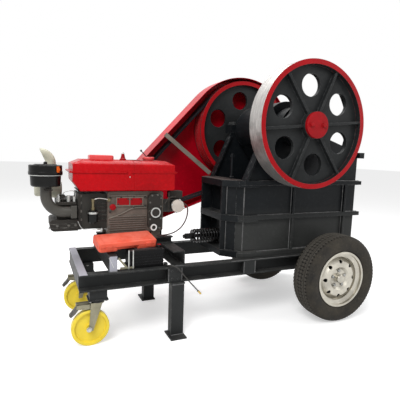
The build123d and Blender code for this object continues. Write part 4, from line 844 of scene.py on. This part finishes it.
def rear_plates():
    """Rear wall with flanges, two ribs, slanted plates, deck and the threaded stud."""
    shape = Shape()
    shape.prism(rectangle(BODY_REAR, BODY_REAR + 20, -200, 200), BODY_LOW, BODY_TOP)
    rear, body = (REAR_END, REAR_HALF), (BODY_REAR, MIDDLE_HALF)
    corners = (rear[0], -rear[1]), (body[0], -body[1]), body, rear
    for low, high in REAR_LEVELS:
        shape.prism(corners, low, high)
    for sign in (-1, 1):
        rib = [(REAR_END + 1, 142), (REAR_END + 1, 157), (BODY_REAR, 157), (BODY_REAR, 142)]
        slant = [(906, 161), (BODY_REAR, WALL_CORNER), (BODY_REAR, WALL_CORNER - SLANT), (920, 147)]
        shape.prism(rib, RIB_LOW, RIB_TOP, sign)
        shape.prism(slant, RIB_LOW, RIB_TOP, sign)
    shape.prism([(BODY_REAR, -237), (1004, -219), (1004, 219), (BODY_REAR, 237)], 863, BODY_TOP)
    shape.turned([(0, 9), (165, 9)], STUD, UP, 16)
    for low, high in ((0, 14), (141, 155)):
        shape.turned([(low, 16), (high, 16)], STUD, UP, 6)
    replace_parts(shape.build("rear_wall_plates", paint_deck, angle=30), "rear_wall")


def tank():
    """Folded tank with a hipped top, a cut lower corner, a seam lip in two lengths and a crease."""
    shape = Shape()
    shoulder, hip, hip_width = 970, 24, 35

    def body(stations, near, far):
        rings = []
        for x, low, share in stations:
            high, inset = shoulder + hip * share, hip_width * share
            outline = (
                (near + 5, low), (far - 5, low), (far, low + 5), (far, shoulder - 4), (far - 2, shoulder),
                (far - 3 - inset, high), (near + 3 + inset, high), (near + 2, shoulder), (near, shoulder - 4),
                (near, low + 5),
            )
            rings.append([at(x, y, z) for y, z in outline])
        shape.rings(rings)

    left = (-11, 874, 0), (-8, 869, 0.06), (27, 823, 0.76), (31, 820, 0.84), (39, 820, 1), (400, 820, 1)
    body(left, -112, 150)
    body(((327, 819, 1), (523, 819, 1), (570, 820, 0.06), (573, 823, 0)), -115, 153)
    for low, high in ((-28, 290), (307, 590)):
        shape.prism(octagon(low, high, -118, 156, 5), 921.5, 930.5)
    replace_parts(shape.build("fuel_tank_shell", paint_tank, "tank_red"), "fuel_tank")


def tank_lid():
    """Flat lid with cut corners, and the round filler cap."""
    rings = []
    for z, inset in ((992, 0), (1012, 0), (1018, 2.5), (1020, 8)):
        outline = octagon(85 + inset, 219 - inset, -66 + inset, 28 - inset, 10)
        rings.append([at(x, y, z) for x, y in outline])
    cap = [(-1, 30), (6, 30), (7, 37), (18, 37), (22, 33)]
    shape = Shape().rings(rings).turned(cap, (433, -20, 994), UP, 40)
    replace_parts(shape.build("tank_lid_and_cap", paint_cap, "tank_red"), "tank_caps")


PIPE_Y, PIPE_RADIUS, PIPE_BORE, BEND_RADIUS, CUT_LEVEL = 62, 28, 25.5, 56, 976


def tail_pipe():
    """Muffler with its stub and an open tail pipe, bent over and cut on the slant."""
    shape = Shape()
    along = [(0, 34), (4, 41), (12, 45), (134, 45), (142, 41), (146, 34)]
    shape.turned(along, (-202, PIPE_Y, 822), RIGHT, 40)
    shape.turned([(0, PIPE_RADIUS), (30, PIPE_RADIUS)], (-84, PIPE_Y, 770.5), UP, 28)
    foot, centre = at(-113, PIPE_Y, 840), at(-169, PIPE_Y, 965)
    cut_low, cut_high = at(-141, PIPE_Y, CUT_LEVEL), at(-190, PIPE_Y, 1087)
    along_cut = (cut_high - cut_low).normalized()
    cut_face = Vector((-along_cut.z, 0, along_cut.x))

    def place(radius, angle, turn):
        out, across = BEND_RADIUS + radius * cos(angle), radius * sin(angle)
        return centre + Vector((out * cos(turn), across, out * sin(turn))) * MM

    def end(radius, angle):
        """Turn round the bend at which a line along the pipe meets the cut."""
        low, high = 0.0, pi / 2
        for _ in range(30):
            half = (low + high) / 2
            point = place(radius, angle, half)
            if point.z < cut_low.z or (point - cut_low).dot(cut_face) < 0:
                low = half
            else:
                high = half
        return low

    angles, steps = around(40), 14
    skins = []
    for radius in (PIPE_RADIUS, PIPE_BORE):
        ends = [end(radius, a) for a in angles]
        skin = [[foot + Vector((cos(a), sin(a), 0)) * radius * MM for a in angles]]
        for step in range(steps + 1):
            skin.append([place(radius, a, e * step / steps) for a, e in zip(angles, ends)])
        skins.append(skin)
    shape.rings(skins[0] + list(reversed(skins[1])), caps=False)
    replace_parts(shape.build("muffler_and_tail_pipe", paint_cream, "muffler_cream", angle=40), "muffler")


def spring():
    """Heavy coil spring on the tension rod."""
    start, end, turns, coil, level = 760.5, 942, 9, 40, 507
    count = turns * 28
    line = []
    for number in range(count + 1):
        turn = 2 * pi * turns * number / count
        x = start + (end - start) * number / count
        line.append((x, coil * cos(turn), level + coil * sin(turn)))
    shape = Shape().tube(line, 6.5, 10)
    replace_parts(shape.build("tension_spring_coil", paint_gloss_black, angle=60), "tension_spring")


# The tool case's frame is its near lower left corner, turned and tilted
CASE_PLACE = placed((106, -256, 505.3), ("Z", 8), ("X", 13))
CASE_MIDDLE = (166.5, 65)
GRIP_CUT = [(106, 18), (217, 18)]

# Each layer's levels with the share of its width, its inset, and its cut for the grip
CASE_LAYERS = (
    (((0, 0.975), (4, 1), (22.5, 1)), 0, GRIP_CUT),
    (((22.5, 1), (24.5, 1)), 3, GRIP_CUT),
    (((24.5, 1), (43, 1), (47, 0.975)), 0, []),
)


def case():
    """Blow-moulded tool case, tilted on the crossbeam, with a seam groove and a grip notch."""
    shape = Shape()
    mid_x, mid_y = CASE_MIDDLE
    for levels, inset, cut in CASE_LAYERS:
        edge = inset + 8
        outline = [(inset, edge), (edge, inset), (98, inset), *cut, (225, inset)]
        outline += [
            (325 - inset, inset), (333 - inset, edge), (333 - inset, 122 - inset),
            (325 - inset, 130 - inset), (edge, 130 - inset), (inset, 122 - inset),
        ]
        shape.rings([
            [CASE_PLACE @ (Vector((mid_x + (x - mid_x) * share, mid_y + (y - mid_y) * share, z)) * MM)
             for x, y in outline]
            for z, share in levels
        ])
    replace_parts(shape.build("tool_case_shell", plastic_coral, "case_coral", angle=40), "tool_case")


def head():
    """Cylinder head with the rounded rocker cover below it."""
    shape = Shape().slab([(-92, 600), (20, 600), (20, 770), (-84, 770), (-92, 762)], -48, 136)
    turns = [radians(180 + 15 * number) for number in range(7)]
    cover = [(-102 + 26 * cos(turn), 622 + 26 * sin(turn)) for turn in turns]
    shape.slab(cover + [(20, 596), (20, 660), (-118, 660), (-128, 650)], -76, 122)
    for z in (612, 634):
        shape.slab(rectangle(-124, 12, z, z + 4), -79, -75)
    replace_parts(shape.build("cylinder_head_casting", cast_dark, "engine_dark"), "cylinder_head")


def cylinder_fins():
    """Short fins on the cylinder's near side."""
    shape = Shape()
    for low in range(648, 792, 24):
        shape.slab(rectangle(112, 178, low, low + 8), -69, -61)
    shape.slab(rectangle(22, 34, 600, 800), -72, -61)
    shape.build("cylinder_fins", cast_dark, "engine_dark")


PEDAL_X, PEDAL_Z, PEDAL_SLOPE, CASTER_MID = -5, 222, radians(49), 246

# The channel's pieces, as an outline along and over the pedal and its reach across it
CHEEK = ((-6, 3), (-6, -8), (4, -11), (32, -14), (62, -9), (62, 3))
CHANNEL = (
    (CHEEK, -17, -14),
    (CHEEK, 14, 17),
    (rectangle(-6, 62, -2, 3), -14.5, 14.5),
    (rectangle(8, 24, 2.5, 5), -12, 12),
    (rectangle(34, 54, 2.5, 5), -12, 12),
)
HOUSING = ((-14, 214), (-8, 234), (74, 234), (74, 207), (30, 207))


def pedal(side, sign):
    """Channel-shaped brake pedal, and the open housing of the fork that its hub sits in."""
    along_x, along_z = -cos(PEDAL_SLOPE), -sin(PEDAL_SLOPE)
    mid = sign * CASTER_MID
    shape = Shape()
    for outline, low, high in CHANNEL:
        places = [(a * along_x + b * along_z, a * along_z - b * along_x) for a, b in outline]
        shape.slab([(PEDAL_X + x, PEDAL_Z + z) for x, z in places], mid + low, mid + high)
    piece = shape.build(side + "_pedal_channel", steel_dark, "caster_zinc", side + "_pedal")
    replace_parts(piece, side + "_caster_pedal")
    housing = Shape().slab(HOUSING, mid - 22, mid - 18.5).slab(HOUSING, mid + 18.5, mid + 22)
    housing.build(side + "_fork_housing", steel_khaki, "caster_zinc", side + "_caster")


def drum(side, sign):
    """Dark brake drum behind the wheel's disc."""
    profile = [(392, 85), (394, 128), (436, 130), (440, 120), (441, 50)]
    shape = Shape().turned(profile, (AXLE_X, 0, AXLE_Z), (0, sign, 0), 48)
    shape.build(side + "_brake_drum", cast_dark, "engine_dark", side + "_wheel")


for make in (drum, pedal, side_frame):
    for side, sign in SIDES:
        make(side, sign)
for make in (case, head, cylinder_fins, rear_plates, tank, tank_lid, tail_pipe, spring):
    make()


# Small fittings
VALVES_Y, PANEL_Y, PLATES_Y, SIGHT_X, SIGHT_Z = -64, -90.5, -94.5, 444, 603


def engine_dressing():
    """Valve gear, pipes, knobs, rings and small fittings on the engine's near side."""
    bright = Shape()
    for x, top in ((-82, 800), (-30, 796), (0, 788)):
        bright.turned([(0, 8), (30, 8), (top - 758, 5.5)], (x, VALVES_Y, 758), UP, 12)
    for x in (-82, -30):
        coil = [
            (x + 10.5 * cos(a), VALVES_Y + 10.5 * sin(a), 759 + 0.75 * n)
            for n, a in enumerate(2 * pi * k / 8 for k in range(41))
        ]
        bright.tube(coil, 1.6, 5)
    bright.pipe(((-58, -50, 770), (-56, -62, 806), (-24, -66, 819),
                 (4, -62, 812), (10, -50, 770)), 2.2)
    ring = [(0, 30.5), (3.5, 30.5), (3.5, 23.5), (-2, 23.5)]
    bright.turned(ring, (CRANK_X, -123, CRANK_Z), NEAR, 32)
    bright.turned([(-4, 28.8), (7, 28.8)], (97, -98, 697), UP, 28)
    bright.pipe(((99, -98, 772), (128, -98, 779), (160, -94, 775), (189, -88, 767)),
                3, 8)
    bright.tube([(122, -80, 602), (140, -80, 598)], 5, 10)
    bright.tube([(140, -80, 598), (152, -84, 595)], 6.5, 10)
    for x in (262, 286):
        bright.tube([(x, -270, 408), (x, -270, 512)], 4)
    bright.build("valve_gear_and_pipes", steel_plated, "bare_steel")

    fitting = Shape().turned(
        [(0, 11), (16, 11), (16, 7.5), (48, 7.5), (48, 9.5), (64, 9.5)],
        (97, -98, 712), UP, 12,
    )
    fitting.bolt((187, -85, 767), NEAR, 15, 10).build("fuel_fittings", dull_brass, "brass")

    pale = Shape().pipe(((18, -79, 651), (30, -81, 622), (48, -81, 603),
                         (90, -80, 597), (122, -80, 601)), 1.7)
    pale.turned([(0, 20), (3, 20), (3, 12), (-3, 12)], (SIGHT_X, -123, SIGHT_Z), NEAR, 28)
    pale.build("pale_pipe_and_sight_ring", paint_white, "muffler_cream")

    khaki = Shape().pipe(((184, PANEL_Y, 659), (251.5, PANEL_Y, 682.5), (326, PANEL_Y, 715.5),
                          (409, PANEL_Y, 718.5)), 3.5)
    khaki.tube([(186, PANEL_Y, 790), (407, PANEL_Y, 790)], 3, 6)
    khaki.block((226, -92.5, 729), (388, -89.5, 784))
    khaki.build("side_cover_ridges", paint_khaki, "engine_grey")

    red = Shape().block((233, PLATES_Y, 737), (302, -92, 777))
    red.block((310, PLATES_Y, 735), (380, -92, 776))
    red.turned([(0, 13), (6, 18), (12, 18), (16, 12)], (207, -90, 727), NEAR, 20)
    red.build("bare_plates_and_knob", paint_red, "signal_red")


def dark_fittings():
    """Plate rivets, rocker cover, latches, throttle rod and governor on the engine."""
    dark = Shape()
    for x, z in ((240, 771), (295, 771), (317, 770), (373, 770), (240, 743), (373, 741)):
        dark.turned([(0, 4.5), (3, 4.5), (4.5, 3)], (x, PLATES_Y, z), NEAR, 10)
    dark.block((-95, -78, 742), (8, -48.5, 758))
    dark.turned([(0, 13), (12, 13), (16, 9)], (-60, VALVES_Y, 784), UP, 20)
    dark.turned([(0, 3), (28, 3)], (-60, VALVES_Y, 756), UP, 8)
    dark.turned([(0, 11.8), (2, 11.8)], (SIGHT_X, -123.5, SIGHT_Z), NEAR, 20)
    dark.turned([(0, 23.2), (2.8, 23.2)], (CRANK_X, -123.5, CRANK_Z), NEAR, 28)
    dark.block((560, -75, 770), (640, -15, 812))
    dark.block((585, -70, 755), (620, -30, 772))
    dark.tube([(546, -92, 686), (546, -92, 810)], 5)
    dark.pipe(((520, -91, 735), (532, -96, 760), (552, -96, 775), (590, -92, 780)), 4)
    knob = (388, -24, 1052)
    dark.tube([(425, -20, 1014), knob], 2.8)
    dark.turned([(-6, 2), (-4, 5.5), (2, 6.5), (6, 3)], knob, UP, 12)
    dark.block((-150, -122, 824), (-118, -111, 836))
    dark.tube([(-156, -117, 830), (-112, -117, 830)], 4)
    dark.build("small_dark_fittings", cast_dark, "engine_dark")


def tank_gauge():
    """Red cone with a white tip on the tank, and a white dot on its side."""
    cone = Shape().turned(
        [(0, 19), (6, 19), (10, 14), (32, 9), (36, 9)], (280, -20, 994), UP, 20
    )
    cone.build("tank_gauge_base", paint_red, "signal_red")
    tip = Shape().turned([(0, 8), (6, 7.5), (11, 4)], (280, -20, 1030), UP, 16)
    tip.turned([(0, 3.5), (2, 2.5)], (302, -112, 900), NEAR, 12)
    tip.build("tank_gauge_tip", paint_white, "muffler_cream")


def cleaner_dressing():
    """Clamp band, bright line, toggle clip and wing nut on the air cleaner."""
    place = (-145, -80, 0)
    centre = at(*place)
    black = Shape().turned([(910, 84.6), (912, 86.2), (926, 86.2), (928, 84.6)], centre, UP, 64)
    black.turned([(961, 60), (965, 56), (966, 20), (966, 0)], centre, UP, 48)
    black.turned([(966, 10), (974, 10), (978, 6)], centre, UP, 6)
    black.build("cleaner_bands", paint_gloss_black, "cleaner_black")
    line = Shape().turned([(906, 83.8), (906.4, 84.6), (908.4, 84.6), (908.8, 83.8)], centre, UP, 64)
    line.build("cleaner_line", paint_white, "cleaner_black")
    turn = placed(place, ("Z", degrees(atan2(-80, 75))))
    clip = Shape().block((83.5, -7, 924), (89.5, 7, 956), turn)
    clip.block((85.5, -9, 934), (92.5, 9, 946), turn)
    clip.build("cleaner_clip", plastic_orange, "signal_red")


def horn_rings():
    """Fine rolled beads round the tail pipe."""
    shape = Shape()
    for z in (884, 905, 926, 947):
        shape.turned([(z - 1.5, 27.9), (z, 28.9), (z + 1.5, 27.9)], (-113, PIPE_Y, 0), UP, 32)
    shape.build("tailpipe_beads", paint_cream, "muffler_cream")


def battery_dressing():
    """Raised ribs round the battery, its cap's edge and the hold-down plate."""
    shape = Shape()
    for z in (418, 433, 448, 463):
        shape.block((293, -262.5, z), (464, -133, z + 6.5))
    shape.block((300, -255, 505), (455, -142, 507.5))
    shape.build("battery_ribs", plastic_black, "battery_black")
    cap = Shape().turned([(0, 11.8), (10, 11.8), (12, 9)], (452, -207, 509), UP, 20)
    cap.build("battery_terminal_cap", paint_red, "signal_red")
    turn = placed((228.5, -266.5, 445), ("Y", 51))
    strap = Shape().block((216, -272, 410), (292, -266, 421))
    strap.block((-36, -3, -5.5), (36, 3, 5.5), turn).build("battery_hold_down", steel_khaki)


def beam_dressing():
    """Pale end plate of the left crossbeam, with a thin white line across it."""
    plate = Shape().block((155.5, -286.2, 405.5), (196.5, -285.1, 489.5))
    plate.build("crossbeam_end_plate", paint_pale)
    turn = placed((165.5, -286.6, 456), ("Y", 66))
    line = Shape().block((-30, -0.4, -1.2), (30, 0.4, 1.2), turn)
    line.build("end_plate_white_line", paint_white)


LATCHES = (52, 281)


def case_dressing():
    """Parting strip in short lengths, and two latches on the tool case."""
    shape = Shape()
    for mid in LATCHES:
        shape.block((mid - 16, -4.5, 12), (mid + 16, 2, 37), CASE_PLACE)
        shape.block((mid - 12, -6.5, 28), (mid + 12, -4, 34), CASE_PLACE)
    for low in (14, 92, 248, 300):
        shape.block((low, -1.2, 25.5), (low + 14, 2, 28.5), CASE_PLACE)
    shape.block((30, 22, 46.8), (303, 112, 48.2), CASE_PLACE)
    shape.build("case_latches", plastic_coral, "case_coral")
    dark = Shape().block((106, 23.6, 1), (217, 24.5, 15.5), CASE_PLACE)
    dark.build("case_grip_shadow", plastic_black, "case_coral")


for make in (
    engine_dressing, dark_fittings, tank_gauge, cleaner_dressing, horn_rings, battery_dressing, beam_dressing,
    case_dressing,
):
    make()


# Stage, lights and camera
FLOOR_GLOW, FLOOR_REACH, AMBIENT = 0.45, 30.0, 0.5


def floor():
    """Pale floor that keeps a soft shadow and reads as white."""
    mesh = bpy.data.meshes.new("floor")
    corners = [(x * FLOOR_REACH, y * FLOOR_REACH, 0) for x, y in ((-1, -1), (1, -1), (1, 1), (-1, 1))]
    mesh.from_pydata(corners, [], [(0, 1, 2, 3)])
    material = bpy.data.materials.new("floor")
    material.use_nodes = True
    material.node_tree.nodes.clear()
    tree = Nodes(material.node_tree)
    surface = tree.node("BsdfDiffuse", Color=(0.8, 0.8, 0.8))
    glow = tree.node("Emission", Strength=tree.sum("MULTIPLY", tree.shown(), FLOOR_GLOW))
    both = tree.node("AddShader")
    tree.give(both.inputs[0], surface.outputs[0])
    tree.give(both.inputs[1], glow.outputs[0])
    tree.node("OutputMaterial", Surface=both.outputs[0])
    mesh.materials.append(material)
    linked("floor", mesh)


def world():
    """White where a camera, glossy or clear ray meets it, and a plain soft light elsewhere."""
    studio = bpy.data.worlds.new("studio")
    bpy.context.scene.world = studio
    studio.use_nodes = True
    tree = Nodes(studio.node_tree)
    level = tree.node("MapRange", Value=tree.shown(), To_Min=AMBIENT, To_Max=1.0)
    tree.set(studio.node_tree.nodes["Background"], Color=(1, 1, 1), Strength=level.outputs[0])


def lamp(name, place, target, size, power):
    """Soft square lamp aimed at a point."""
    light = bpy.data.lights.new(name, "AREA")
    light.size = size
    light.energy = power
    piece = linked(name, light)
    piece.location = place
    piece.rotation_euler = (Vector(target) - Vector(place)).to_track_quat("-Z", "Y").to_euler()


floor()
world()
lamp("key", (-2.6, -3.0, 4.2), (0, 0, 0.7), 2.2, 190)
lamp("top", (-0.3, 1.2, 4.6), (0, 0, 0.8), 3.0, 130)
lamp("side", (4.0, -2.0, 2.2), (0.2, 0, 0.6), 2.5, 40)

CAMERA_PLACE = (-209.24, -2260.14, 1046.08)
CAMERA_YAW, CAMERA_PITCH, CAMERA_ROLL = 23.9325, -6.9647, 1.8458
FOCAL_PIXELS, FRAME_PIXELS, SENSOR = 379.70, 400, 36.0


def camera():
    """Camera at the photograph's viewpoint."""
    data = bpy.data.cameras.new("camera")
    data.sensor_width = SENSOR
    data.lens = SENSOR * FOCAL_PIXELS / FRAME_PIXELS
    piece = linked("camera", data)
    turns = ("Z", -CAMERA_YAW), ("X", 90 + CAMERA_PITCH), ("Z", CAMERA_ROLL)
    piece.matrix_world = placed(CAMERA_PLACE, *turns)
    bpy.context.scene.camera = piece


camera()
bpy.context.scene.view_settings.view_transform = "Standard"
